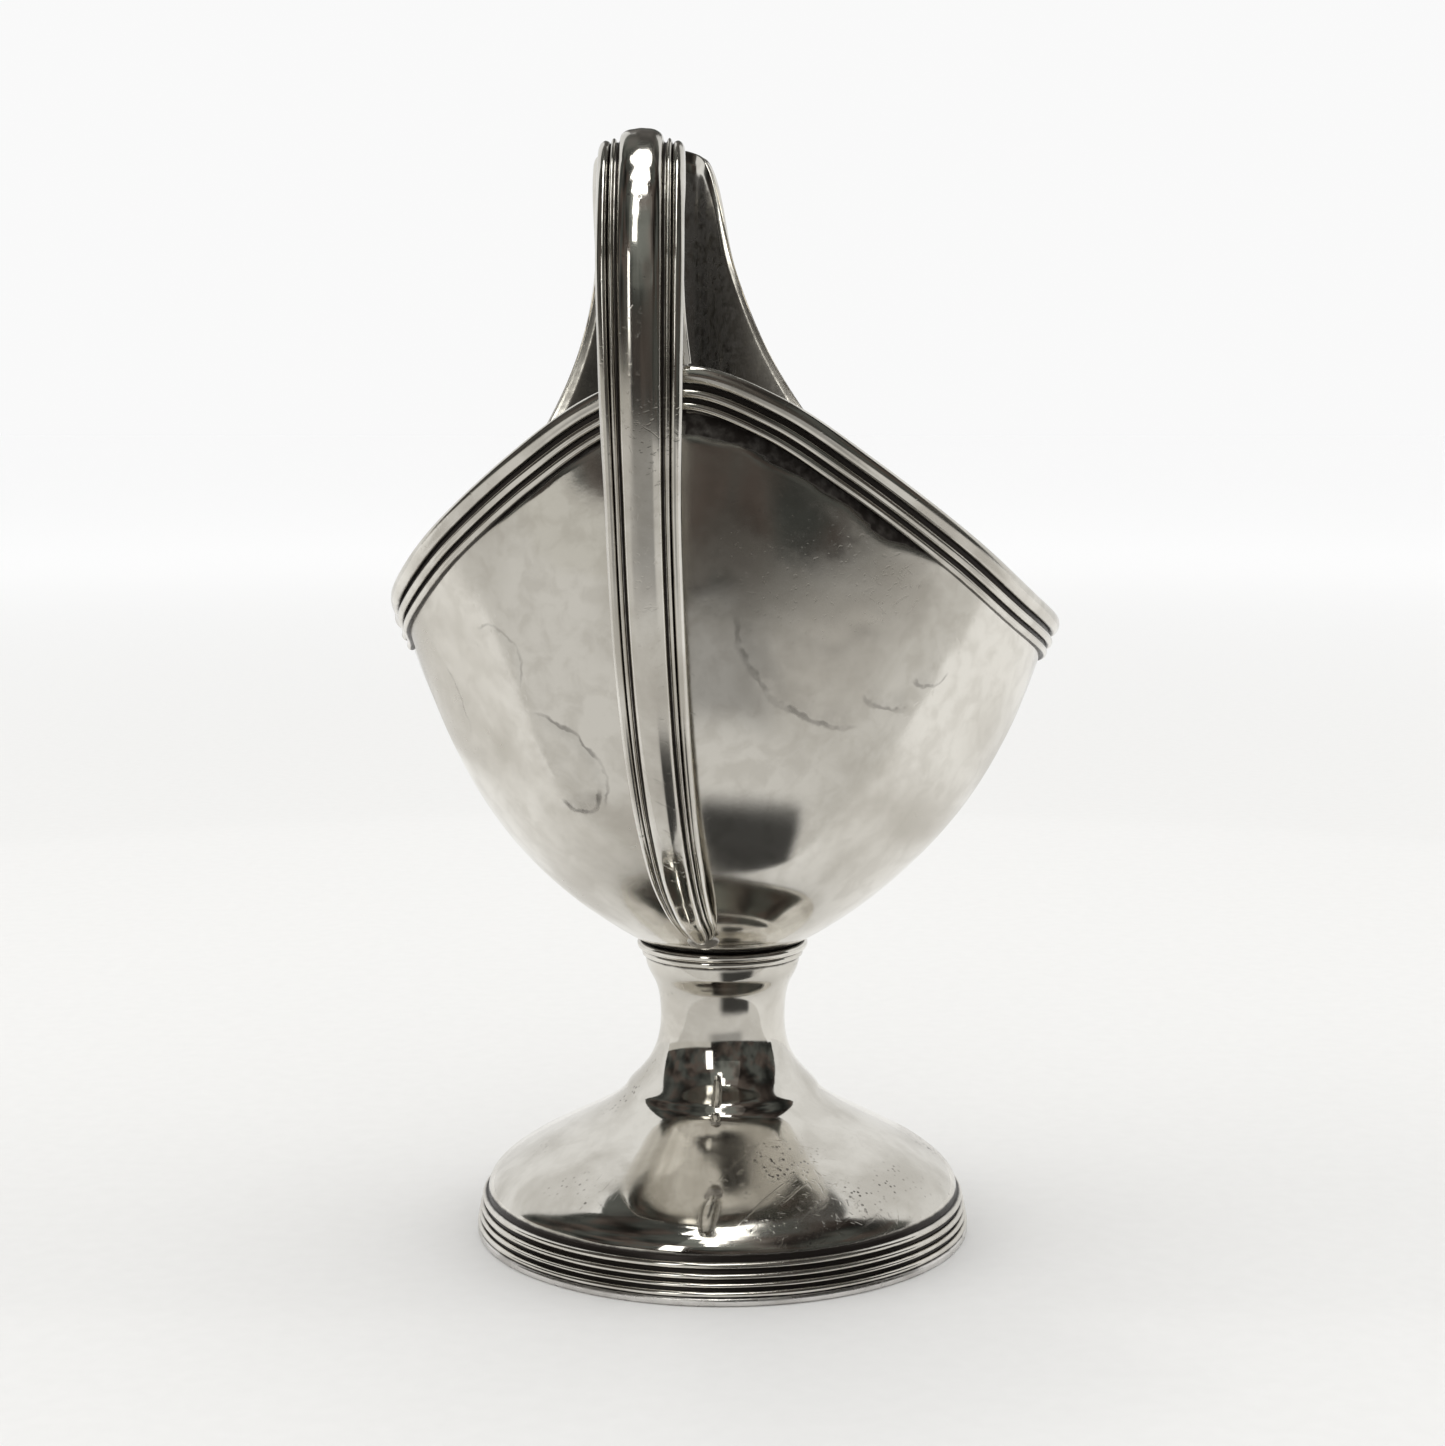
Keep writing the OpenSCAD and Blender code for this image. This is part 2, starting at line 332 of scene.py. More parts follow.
class Graph:
    """Short names for the shader nodes that the finishes use."""

    def __init__(self, tree: bpy.types.NodeTree) -> None:
        """Keeps the tree and makes its Object coordinates ready."""
        self.tree = tree
        self.coords = self.node("ShaderNodeTexCoord").outputs["Object"]

    def feed(self, target: Socket, value: Feed) -> None:
        """Links a socket or sets its value.

        Args:
            target: The input.
            value: The output that it is linked to, or its value.
        """
        if isinstance(value, bpy.types.NodeSocket):
            self.tree.links.new(value, target)
        else:
            target.default_value = value

    def node(
        self, kind: str, inputs: Mapping[int | str, Feed] | None = None, **settings: object
    ) -> bpy.types.Node:
        """A new node.

        Args:
            kind: Its type.
            inputs: Links and values of its inputs.
            settings: Attributes that are set on it.

        Returns:
            The node.
        """
        made = self.tree.nodes.new(kind)
        for name, value in settings.items():
            setattr(made, name, value)
        for key, value in (inputs or {}).items():
            self.feed(made.inputs[key], value)
        return made

    def stretched(self, turn: Triple, scale: Triple) -> Socket:
        """Object coordinates, turned by degrees and scaled along each axis."""
        inputs = {"Vector": self.coords, "Rotation": radians(turn), "Scale": scale}
        return self.node("ShaderNodeMapping", inputs, vector_type="TEXTURE").outputs["Vector"]

    def noise(
        self, scale: float, detail: float, vector: Socket | None = None, bend: float = 0.0
    ) -> Socket:
        """Soft noise from 0 to 1.

        Args:
            scale: Features in a metre.
            detail: Octaves.
            vector: Coordinates, or none for the Object coordinates.
            bend: Distortion.

        Returns:
            The factor.
        """
        where = {"Vector": vector or self.coords, "Scale": scale}
        made = self.node("ShaderNodeTexNoise", {**where, "Detail": detail, "Distortion": bend})
        return made.outputs["Fac"]

    def cells(self, scale: float) -> Socket:
        """Distance to the nearest of many scattered points."""
        inputs = {"Vector": self.coords, "Scale": scale}
        return self.node("ShaderNodeTexVoronoi", inputs).outputs["Distance"]

    def span(
        self, value: Socket, low: float, high: float, out_low: float = 0.0, out_high: float = 1.0
    ) -> Socket:
        """A value mapped softly from one range to another, held at its ends.

        Args:
            value: The value.
            low, high: Its range.
            out_low, out_high: The new range.

        Returns:
            The mapped value.
        """
        ends = {"From Min": low, "From Max": high, "To Min": out_low, "To Max": out_high}
        inputs = {"Value": value, **ends}
        made = self.node("ShaderNodeMapRange", inputs, interpolation_type="SMOOTHSTEP")
        return made.outputs["Result"]

    def fall(self, value: Socket, low: float, high: float) -> Socket:
        """Share from 1 at low to 0 at high."""
        return self.span(value, low, high, 1.0, 0.0)

    def math(self, operation: str, a: Value, b: Value = 0.0) -> Socket:
        """The result of one Math node with the inputs a and b."""
        return self.node("ShaderNodeMath", {0: a, 1: b}, operation=operation).outputs[0]

    def plus(self, a: Value, b: Value) -> Socket:
        """The sum of two numbers."""
        return self.math("ADD", a, b)

    def minus(self, a: Value, b: Value) -> Socket:
        """The first number less the second."""
        return self.math("SUBTRACT", a, b)

    def times(self, a: Value, b: Value) -> Socket:
        """The product of two numbers."""
        return self.math("MULTIPLY", a, b)

    def most(self, a: Value, b: Value) -> Socket:
        """The greater of two numbers."""
        return self.math("MAXIMUM", a, b)

    def vector(self, operation: str, a: Socket, b: Sequence[float] | None = None) -> Socket:
        """The result of one Vector Math node.

        Args:
            operation: Name of its operation.
            a: Its first input.
            b: Its second input, where it has one.

        Returns:
            A number from a length or a dot product, and else a vector.
        """
        inputs = {0: a} if b is None else {0: a, 1: b}
        made = self.node("ShaderNodeVectorMath", inputs, operation=operation)
        return made.outputs["Value" if operation in ("LENGTH", "DOT_PRODUCT") else "Vector"]

    def mix(self, share: Value, a: Feed, b: Feed) -> Socket:
        """The colour that is the given share of the way from a to b."""
        return self.node("ShaderNodeMix", {0: share, 6: a, 7: b}, data_type="RGBA").outputs[2]


def new_material(name: str) -> tuple[Material, Graph, bpy.types.Node]:
    """A new material with nodes.

    Args:
        name: Its name.

    Returns:
        The material, its graph and its Principled shader.
    """
    made = bpy.data.materials.new(name)
    made.use_nodes = True
    return made, Graph(made.node_tree), made.node_tree.nodes["Principled BSDF"]


@dataclass(frozen=True)
class CreaseShade:
    """A thin dark bent line of painted shade along a crease that a knock has left in the metal.

    Attributes:
        centre: Middle of the circle that the line bends round, in millimetres.
        radius: Radius of the bend, in millimetres.
        heading: Direction from the middle to the line.
        reach: Half of the angle that the line covers, in degrees.
        width: Half width of the line, in millimetres.
        dark: Strength of the line.
        waver: How far the line may stray, in millimetres.
        shade: Strength of the soft shade on its inner side.
        shade_widths: Breadth of that shade, in half widths of the line.
    """

    centre: Triple
    radius: float
    heading: Triple
    reach: float
    width: float = 0.3
    dark: float = 0.8
    waver: float = 2.4
    shade: float = 0.28
    shade_widths: float = 7.0

    def line(self, graph: Graph, wave: Socket) -> Socket:
        """The strength of the line over the surface.

        Args:
            graph: The graph that gets the nodes.
            wave: Noise that makes the line uneven.

        Returns:
            The strength, from 0 to 1.
        """
        width = self.width * MM
        away = graph.vector("SUBTRACT", graph.coords, [x * MM for x in self.centre])
        far = graph.vector("LENGTH", away)
        facing = graph.vector("NORMALIZE", away)
        facing = graph.vector("DOT_PRODUCT", facing, Vector(self.heading).normalized())
        bend = graph.times(graph.minus(wave, 0.5), self.waver * MM)
        off = graph.plus(graph.minus(far, self.radius * MM), bend)
        core = graph.fall(graph.math("ABSOLUTE", off), 0.2 * width, width)
        soft = graph.times(graph.span(off, -self.shade_widths * width, 0.0), self.shade)
        soft = graph.times(soft, graph.fall(off, 0.0, width))
        ends = [math.cos(math.radians(self.reach * k)) for k in (1.1, 0.7)]
        held = graph.span(facing, *ends, 0.0, self.dark)
        held = graph.times(held, graph.span(wave, 0.36, 0.58, 0.3, 1.0))
        return graph.times(graph.most(core, soft), held)


@dataclass(frozen=True)
class SilverFinish:
    """Old silver with stains, tarnish in its grooves, pits, fine scratches and painted shade.

    Attributes:
        name: Name of the material.
        bright: Colour of clean metal.
        stained: Colour where the surface has dulled.
        tarnish_and_shade: Colour of the tarnish in grooves and pits, also used for painted shade.
        stain_size: Stains in a metre.
        stain_share: Strength of the stains.
        gloss: Roughness of the cleanest and the dullest metal.
        scratches: Strength of the scratches.
        pits: Share of the surface that may be pitted.
        relief: Strength of the small relief.
        relief_depth: Depth of the small relief, in millimetres.
        mottle: Strength of the fine cloudy tint.
        crease_shades: Thin dark lines of painted shade along creases left by knocks.
    """

    name: str
    bright: Colour = (0.80, 0.775, 0.72, 1.0)
    stained: Colour = (0.50, 0.47, 0.415, 1.0)
    tarnish_and_shade: Colour = (0.022, 0.017, 0.014, 1.0)
    stain_size: float = 42.0
    stain_share: float = 0.7
    gloss: Pair = (0.09, 0.26)
    scratches: float = 0.5
    pits: float = 0.35
    relief: float = 0.35
    relief_depth: float = 0.04
    mottle: float = 0.22
    crease_shades: tuple[CreaseShade, ...] = ()

    def material(self) -> Material:
        """Makes the material once and finds it again after that.

        Returns:
            The material.
        """
        if self.name in bpy.data.materials:
            return bpy.data.materials[self.name]
        made, graph, shader = new_material(self.name)
        shader.inputs["IOR"].default_value = 1.5

        broad = graph.noise(self.stain_size, 6.0, bend=0.4)
        fine = graph.noise(900.0, 4.0)
        stain = graph.times(graph.span(broad, 0.42, 0.68), self.stain_share)
        scratch = self._scratches(graph)
        pit = self._pits(graph)
        groove = self._tarnish_and_shade(graph, fine)

        colour = graph.mix(stain, self.bright, self.stained)
        cloud = graph.span(graph.noise(340.0, 6.0, bend=0.4), 0.40, 0.66)
        colour = graph.mix(graph.times(cloud, self.mottle), colour, self.stained)
        colour = graph.mix(graph.times(scratch, 0.25 * self.scratches), colour, self.stained)
        # Tarnish and pits, with the painted shade that the layer holds.
        dark = graph.most(groove, graph.times(pit, 0.75))
        # Crease lines of painted shade, mixed towards the tarnish colour.
        if self.crease_shades:
            wave = graph.noise(330.0, 3.0)
            for crease_shade in self.crease_shades:
                dark = graph.most(dark, crease_shade.line(graph, wave))
        graph.feed(shader.inputs["Base Color"], graph.mix(dark, colour, self.tarnish_and_shade))

        rough = graph.span(graph.plus(stain, graph.times(fine, 0.3)), 0.1, 0.95, *self.gloss)
        rough = graph.plus(rough, graph.times(scratch, 0.12 * self.scratches))
        rough = graph.plus(rough, graph.times(dark, 0.2))
        graph.feed(shader.inputs["Roughness"], rough)
        graph.feed(shader.inputs["Metallic"], graph.span(dark, 0.6, 1.0, 1.0, 0.6))

        height = graph.minus(graph.times(fine, 0.25), graph.times(scratch, self.scratches))
        height = graph.minus(height, graph.times(pit, 0.8))
        depths = {"Strength": self.relief, "Distance": self.relief_depth * MM, "Height": height}
        bump = graph.node("ShaderNodeBump", depths)
        graph.feed(shader.inputs["Normal"], bump.outputs["Normal"])
        return made

    def _scratches(self, graph: Graph) -> Socket:
        """Thin streaks in a few directions, each only in places.

        Args:
            graph: The graph that gets the nodes.

        Returns:
            The strength of the scratches, from 0 to 1.
        """
        total: Value = 0.0
        for turn, where in (((12, 35, 20), 31.0), ((70, -20, 50), 47.0), ((-30, 10, -65), 39.0)):
            lines = graph.noise(1.0, 2.0, graph.stretched(turn, (0.02, 0.0006, 0.0006)))
            cut = graph.span(lines, 0.63, 0.70)
            held = graph.span(graph.noise(where, 2.0), 0.48, 0.62)
            total = graph.most(total, graph.times(cut, held))
        return total

    def _pits(self, graph: Graph) -> Socket:
        """Small dark pits in patches.

        Args:
            graph: The graph that gets the nodes.

        Returns:
            The depth of the pits, from 0 to 1.
        """
        ends = 0.72 - 0.25 * self.pits, 0.80 - 0.2 * self.pits
        patch = graph.span(graph.noise(70.0, 3.0), *ends)
        return graph.times(patch, graph.fall(graph.cells(1300.0), 0.16, 0.30))

    def _tarnish_and_shade(self, graph: Graph, fine: Socket) -> Socket:
        """Tarnish where the piece is grooved, and painted shade where the layer holds it, with an
        uneven edge.

        Args:
            graph: The graph that gets the nodes.
            fine: Fine noise that breaks the edge.

        Returns:
            The strength of the tarnish, from 0 to 1.
        """
        layer = graph.node("ShaderNodeAttribute", attribute_name=TARNISH_AND_SHADE_LAYER).outputs["Fac"]
        uneven = graph.plus(layer, graph.times(graph.minus(fine, 0.5), 0.3))
        return graph.span(uneven, 0.35, 0.85)


CREASE_SHADES = (
    CreaseShade((-19.9, -25.0, 61.2), 7.9, (0.58, -0.62, 0.53), 58, width=0.32, dark=0.5),
    CreaseShade((-16.2, -26.6, 60.2), 2.9, (0.40, 0.05, -0.92), 78, width=0.42, dark=0.62),
    CreaseShade((14.6, -26.1, 82.9), 15.8, (-0.53, -0.37, -0.76), 40, width=0.5, dark=0.45),
    CreaseShade((18.5, -22.0, 78.0), 9.4, (0.0, -0.35, -0.94), 22, width=0.42, dark=0.5),
    CreaseShade((25.6, -24.5, 75.5), 5.4, (-0.2, 0.45, -0.87), 34, width=0.36, dark=0.45),
    CreaseShade((-26.4, -24.0, 73.6), 5.0, (0.48, -0.56, 0.68), 66, dark=0.3),
    CreaseShade((-34.0, -10.0, 68.0), 9.0, (0.5, -0.8, 0.2), 30, dark=0.2),
    CreaseShade((10.0, 30.0, 62.0), 8.0, (0.4, 0.6, 0.7), 40, dark=0.6),
)
FINISHES = {
    Slot.RAISED: SilverFinish(
        "raised silver", stain_share=0.8, pits=0.05, scratches=0.2, mottle=0.32, crease_shades=CREASE_SHADES
    ),
    Slot.REEDED: SilverFinish(
        "reeded silver", gloss=(0.10, 0.24), stain_share=0.55, stain_size=90.0
    ),
    Slot.STRAP: SilverFinish("strap silver", gloss=(0.08, 0.2), stain_share=0.75, stain_size=60.0),
    Slot.SOLDER: SilverFinish(
        "silver solder",
        bright=(0.55, 0.53, 0.50, 1.0),
        stained=(0.28, 0.26, 0.24, 1.0),
        gloss=(0.3, 0.5),
        stain_size=300.0,
    ),
    Slot.COLLAR: SilverFinish("collar silver", gloss=(0.08, 0.2)),
    Slot.PEDESTAL: SilverFinish("pedestal silver", gloss=(0.06, 0.2), pits=0.6, stain_size=70.0),
    Slot.BASE: SilverFinish(
        "worn base silver",
        bright=(0.78, 0.76, 0.74, 1.0),
        stained=(0.55, 0.53, 0.50, 1.0),
        gloss=(0.2, 0.42),
        stain_size=160.0,
        scratches=0.9,
    ),
}


def finished(bm: Mesh, name: str, slot: Slot, node: str) -> Piece:
    """Turns a bmesh into a smooth-shaded piece that rides on the jug.

    Args:
        bm: The bmesh, in millimetres. It is freed.
        name: Name of the piece.
        slot: Material slot of the record, which also gives its finish.
        node: CAD node that the piece stands for.

    Returns:
        The piece.
    """
    bmesh.ops.scale(bm, vec=(MM, MM, MM), verts=bm.verts)
    piece = placed(bm, name, FINISHES[slot].material())
    piece.data.shade_smooth()
    piece.data.set_sharp_from_angle(angle=math.radians(SHARP_ANGLE))
    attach(piece, "root")
    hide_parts(node)
    log.info("%s: %d faces", name, len(piece.data.polygons))
    return piece


# ---- bowl form


@dataclass(frozen=True)
class BowlForm:
    """Lines of the raised bowl, shared by the bowl and its rim band.

    Attributes:
        half_w: Half width at the low sides of the rim.
        back_reach, back_top: Place and height of the rim's back peak.
        side_low: Height of the rim's low sides.
        spout_reach, spout_top: Place and height of the spout's tip.
        lip_half_w: Half width at the corners of the lip.
        wall: Thickness of the wall.
        belly: How far the belly swells out above the collar.
        back_bow, spout_bow: Sideways bow of the long axis for each millimetre.
        belly_drift: How far the belly drifts against the bow.
        rim_tilt: Angle by which the rim dips towards +X, in degrees.
        base_r, base_z: Circle that the bowl stands on.
        base_rise, side_flare, back_flare, spout_flare: Angles of the meridians, in degrees.
        top_pull, belly_power: How long the meridians' handles are.
        bow_round: Distance over which the bow starts, either side of the middle.
        bow_height: Height over which it starts, from the base.
        stations: The rim line's stations, from the back peak round both sides.
        known: Meridians that have been worked out.
    """

    half_w: float = 40.2
    back_reach: float = 33.0
    back_top: float = 107.7
    side_low: float = 76.6
    spout_reach: float = 57.0
    spout_top: float = 138.6
    lip_half_w: float = 8.0
    wall: float = 0.8
    belly: float = 22.0
    back_bow: float = 0.15
    spout_bow: float = 0.21
    belly_drift: float = 0.6
    rim_tilt: float = 1.0
    base_r: float = 10.3
    base_z: float = 37.25
    base_rise: float = 29.0
    side_flare: float = 17.0
    back_flare: float = -6.0
    spout_flare: float = 23.0
    top_pull: float = 0.36
    belly_power: float = 0.65
    bow_round: float = 3.0
    bow_height: float = 20.0
    stations: tuple[Vector, ...] = field(init=False)
    known: dict[float, tuple[Vector, ...]] = field(init=False, default_factory=dict)

    def __post_init__(self) -> None:
        """Lays out the stations of the rim line."""
        wide, back, lip = self.half_w, self.back_reach, self.lip_half_w
        front = self.spout_reach
        drop = self.back_top - self.side_low
        rise = self.spout_top - self.side_low
        half = [
            (0, -back, drop),
            (0.26 * wide, -0.966 * back, 0.89 * drop),
            (0.50 * wide, -0.866 * back, 0.68 * drop),
            (0.76 * wide, -0.65 * back, 0.405 * drop),
            (0.93 * wide, -0.37 * back, 0.175 * drop),
            (wide, 0, 0.045 * drop),
            (0.985 * wide, 0.13 * front, 0),
            (0.90 * wide, 0.27 * front, 0.03 * rise),
            (0.72 * wide, 0.41 * front, 0.14 * rise),
            (0.49 * wide, 0.53 * front, 0.34 * rise),
            (1.64 * lip, 0.64 * front, 0.53 * rise),
            (1.17 * lip, 0.75 * front, 0.73 * rise),
            (lip, 0.89 * front, 0.945 * rise),
            (0.74 * lip, 0.965 * front, 0.998 * rise),
            (0, front, rise),
        ]
        right = [Vector((x, y, self.side_low + z)) for x, y, z in half]
        left = [Vector((-p.x, p.y, p.z)) for p in right[-2:0:-1]]
        object.__setattr__(self, "stations", tuple(right + left))

    @property
    def span_count(self) -> int:
        """Spans of the closed rim line."""
        return len(self.stations)

    def rim(self, u: float) -> Vector:
        """A point of the rim line, before the long axis is bowed.

        Args:
            u: Place along the line, in spans from the back peak.

        Returns:
            The point.
        """
        i = math.floor(u)
        a, b, c, d = (self.stations[(i + k) % self.span_count] for k in (-1, 0, 1, 2))
        p = through(a, b, c, d, u - i)
        return Vector((p.x, p.y, p.z - math.tan(math.radians(self.rim_tilt)) * p.x))

    def meridian(self, u: float) -> tuple[Vector, ...]:
        """Control points of the line that runs up the wall to one point of the rim.

        Args:
            u: Place along the rim line.

        Returns:
            Four control points.
        """
        key = round(u % self.span_count, 6)
        if key not in self.known:
            p = self.rim(key)
            out = Vector((p.x, p.y, 0)).normalized()
            tall = p.z - self.base_z
            c = -out.y
            ends = self.back_flare if c > 0 else self.spout_flare
            flare = math.radians(self.side_flare * (1 - c * c) + ends * c * c)
            rise = math.radians(self.base_rise)
            swell = self.belly * (tall / (self.side_low - self.base_z)) ** self.belly_power
            foot = self.base_r * out + self.base_z * UP
            self.known[key] = (
                foot,
                foot + swell * (math.cos(rise) * out + math.sin(rise) * UP),
                p - self.top_pull * tall * (math.sin(flare) * out + math.cos(flare) * UP),
                p,
            )
        return self.known[key]

    def wall_point(self, u: float, t: float) -> Vector:
        """A point of the outer wall, before the bow."""
        return cubic(*self.meridian(u), t)

    def wall_normal(self, u: float, t: float) -> Vector:
        """Outward normal of the wall, before the bow."""
        round_way = self.wall_point(u + 0.25, t) - self.wall_point(u - 0.25, t)
        return round_way.cross(cubic_slope(*self.meridian(u), t)).normalized()

    def below_rim(self, u: float, t: float) -> float:
        """Distance from the rim down to a point of the wall, true near the rim."""
        points = self.meridian(u)
        return (1 - t) * 3 * (points[3] - points[2]).length

    def bowed(self, p: Vector) -> Vector:
        """A point moved with the bow of the long axis.

        Args:
            p: The point.

        Returns:
            The moved point.
        """
        bow = self.spout_bow if p.y > 0 else self.back_bow
        drift = self.belly_drift - bow * (math.hypot(p.y, self.bow_round) - self.bow_round)
        return p + Vector((drift * smooth_step(0, self.bow_height, p.z - self.base_z), 0, 0))


# ---- bowl and rim band


@dataclass
class Bowl:
    """The raised bowl: one skin from the base, over the rim and down the inside.

    Attributes:
        form: Lines of the bowl.
        columns: Cells round the bowl.
        wall_rows: Cells up the wall.
        edge_rows: Cells over the rounded edge.
        bevel_rows: Cells down the bevelled inner edge.
        floor_rows: Cells across the inner floor.
        crowding: How strongly the outer rows crowd towards the rim.
        wall_top, wall_foot: Shares of the meridian where the outside ends and the inside ends.
        bevel: Width of the bevelled inner edge.
        bevel_drop: How far under the rim line the bevel starts.
        bevel_reach: Length of the bevel for each millimetre of its width.
        edge_share: Half of the edge's thickness, as a share of the wall's.
        band_width: How far the rim band comes down the wall.
        tuck: How far the wall draws in under the band for each millimetre.
        work: Unevenness and dents of the sheet.
    """

    form: BowlForm
    columns: int = 308
    wall_rows: int = 92
    edge_rows: int = 8
    bevel_rows: int = 6
    floor_rows: int = 8
    crowding: float = 1.6
    wall_top: float = 0.992
    wall_foot: float = 0.05
    bevel: float = 1.7
    bevel_drop: float = 0.25
    bevel_reach: float = 1.15
    edge_share: float = 0.275
    band_width: float = 4.65
    tuck: float = 0.26
    work: HandWork = HandWork(
        swell=(0.10, 17.0),
        planish=(0.014, 4.5),
        dents=(
            Dent(DentKind.CRESCENT, (-19.9, -27.0, 61.2), 7.4, 0.13, breadth=0.9),
            Dent(DentKind.HOLLOW, (-17.5, -27.5, 58.0), 4.0, 0.10),
            Dent(DentKind.HOLLOW, (-23.0, -26.0, 72.0), 6.0, 0.12),
            Dent(DentKind.CREASE, (8.0, -31.5, 72.5), 6.0, 0.12, turn=-28, breadth=0.8),
            Dent(DentKind.CREASE, (20.5, -24.5, 70.5), 6.5, 0.12, turn=14, breadth=0.8),
            Dent(DentKind.CREASE, (14.0, -29.0, 78.0), 5.0, 0.08, turn=8, breadth=0.9),
            Dent(DentKind.HOLLOW, (26.0, -20.0, 77.0), 4.5, 0.09),
            Dent(DentKind.HOLLOW, (-6.0, 34.0, 70.0), 6.0, 0.10),
            Dent(DentKind.HOLLOW, (30.0, 9.0, 60.0), 5.0, 0.09),
            Dent(DentKind.HOLLOW, (-31.0, 8.0, 64.0), 5.5, 0.11),
        ),
    )

    def painted_shade_width(self, u: float) -> float:
        """Width of the dark painted shade under the band, wide on one side of the handle and
        uneven.

        Args:
            u: Place along the rim line, in spans from the back peak.

        Returns:
            The width.
        """
        is_right = u < self.form.span_count / 2
        from_peak = u if is_right else self.form.span_count - u
        wide = 3.0 if is_right else 1.5
        uneven = 1 + 0.28 * noise.noise(Vector((u * 2.6, 4.0, 0.0)))
        return wide * uneven * (1 - smooth_step(2.0, 3.1, from_peak))

    def inner_tarnish_and_shade(self, u: float) -> float:
        """Groove value of the inside: tarnish, with painted shade that is darkest in the narrow
        spout.
        """
        return 0.69 - 0.13 * smooth_step(2.0, 6.0, abs(u - self.form.span_count / 2))

    def inner_point(self, u: float, t: float) -> Vector:
        """A point of the inner wall, before the bow."""
        return self.form.wall_point(u, t) - self.form.wall * self.form.wall_normal(u, t)

    def outside(self, u: float, s: float) -> Spot:
        """The outside of the bowl, with its tarnish and the painted shade under the band.

        Args:
            u: Place along the rim line, in spans from the back peak.
            s: Share of the way up.

        Returns:
            The position before the bow, and the groove value.
        """
        form = self.form
        t = (1 - (1 - s) ** self.crowding) * self.wall_top
        near_base = 0.9 * (1 - smooth_step(0.0, 0.035, t))
        down = form.below_rim(u, t)
        under = down - self.band_width
        # wide is the width of the painted shade under the band, which the wall also tucks in under.
        wide = self.painted_shade_width(u)
        near_band = 0.9 * (1 - smooth_step(-0.1, 0.6, under))
        on_painted_shade = 0.8 * (1 - smooth_step(wide - 0.4, wide + 0.3, under))
        tuck = self.tuck * max(0.0, wide - max(under, 0.0)) * smooth_step(0.2, 2.5, down)
        p = form.wall_point(u, t) - form.wall_normal(u, t) * tuck
        return p, max(near_base, near_band, on_painted_shade)

    def edge(self, u: float, s: float) -> Spot:
        """The rounded edge.

        Args:
            u: Place along the rim line, in spans from the back peak.
            s: Share of the way over.

        Returns:
            The position before the bow, and the groove value.
        """
        form = self.form
        up = cubic_slope(*form.meridian(u), 1.0).normalized()
        normal = form.wall_normal(u, 1.0)
        reach = form.wall * self.edge_share
        middle = form.wall_point(u, 1.0) - normal * reach
        turn = math.pi * s
        return middle + normal * reach * math.cos(turn) + up * reach * math.sin(turn), 0.0

    def inner_bevel(self, u: float, s: float) -> Spot:
        """The bevel inside the edge, with painted shade on it away from the spout's tip and at its
        foot.

        Args:
            u: Place along the rim line, in spans from the back peak.
            s: Share of the way down.

        Returns:
            The position before the bow, and the groove value.
        """
        form = self.form
        down = self.bevel_drop + self.bevel * self.bevel_reach * s
        t = 1 - down / form.below_rim(u, 0.0)
        thick = form.wall * (0.55 + 0.45 * min(1.0, down / self.bevel))
        # Painted shade on the bevel away from the spout's tip, and at the bevel's foot.
        from_tip = abs(u - form.span_count / 2)
        foot = 0.3 * smooth_step(0.95, 1.1, down / self.bevel)
        p = form.wall_point(u, t) - thick * form.wall_normal(u, t)
        return p, max(0.58 * smooth_step(0.8, 2.2, from_tip), foot)

    def inside(self, u: float, s: float) -> Spot:
        """The inside of the wall.

        Args:
            u: Place along the rim line, in spans from the back peak.
            s: Share of the way down.

        Returns:
            The position before the bow, and the groove value.
        """
        bevel = self.bevel_drop + self.bevel * self.bevel_reach
        top = 1 - bevel / self.form.below_rim(u, 0.0)
        t = (1 - s) * (top - self.wall_foot) + self.wall_foot
        return self.inner_point(u, t), self.inner_tarnish_and_shade(u)

    def inner_floor(self, u: float, s: float) -> Spot:
        """The inner floor.

        Args:
            u: Place along the rim line, in spans from the back peak.
            s: Share of the way to the middle.

        Returns:
            The position before the bow, and the groove value.
        """
        start = self.inner_point(u, self.wall_foot)
        back = cubic_slope(*self.form.meridian(u), self.wall_foot).normalized()
        pole = Vector((0, 0, self.form.base_z + self.form.wall + 0.5))
        out = Vector((start.x, start.y, 0)).normalized()
        p = cubic(start, start - back * 3.0, pole + out * 4.0, pole, s)
        return p, self.inner_tarnish_and_shade(u)

    def parts(self) -> tuple[tuple[int, Callable[[float, float], Spot]], ...]:
        """The parts of the skin in order from the base, each with its rows."""
        return (
            (self.wall_rows, self.outside),
            (self.edge_rows, self.edge),
            (self.bevel_rows, self.inner_bevel),
            (self.wall_rows, self.inside),
            (self.floor_rows, self.inner_floor),
        )

    def skin(self, i: int, j: int) -> Spot:
        """One grid point of the skin.

        Args:
            i: Column, round the bowl.
            j: Row, from the outer pole up, over the edge and down to the inner pole.

        Returns:
            The position and the groove value.
        """
        u = (i % self.columns) * self.form.span_count / self.columns
        if j == 0:
            return Vector((0, 0, self.form.base_z)), 0.0
        j -= 1
        for rows, part in self.parts():
            if j <= rows:
                break
            j -= rows
        p, groove = part(u, j / rows)
        return self.form.bowed(p), groove

    def build(self) -> Piece:
        """Builds the bowl and dresses it.

        Returns:
            The piece.
        """
        bm = sheet(self.columns, 1 + sum(rows for rows, _ in self.parts()), self.skin)
        self.work.apply(bm, lambda p: p.z > self.form.base_z + 2.0)
        return finished(bm, "bowl_skin", Slot.RAISED, "bowl")


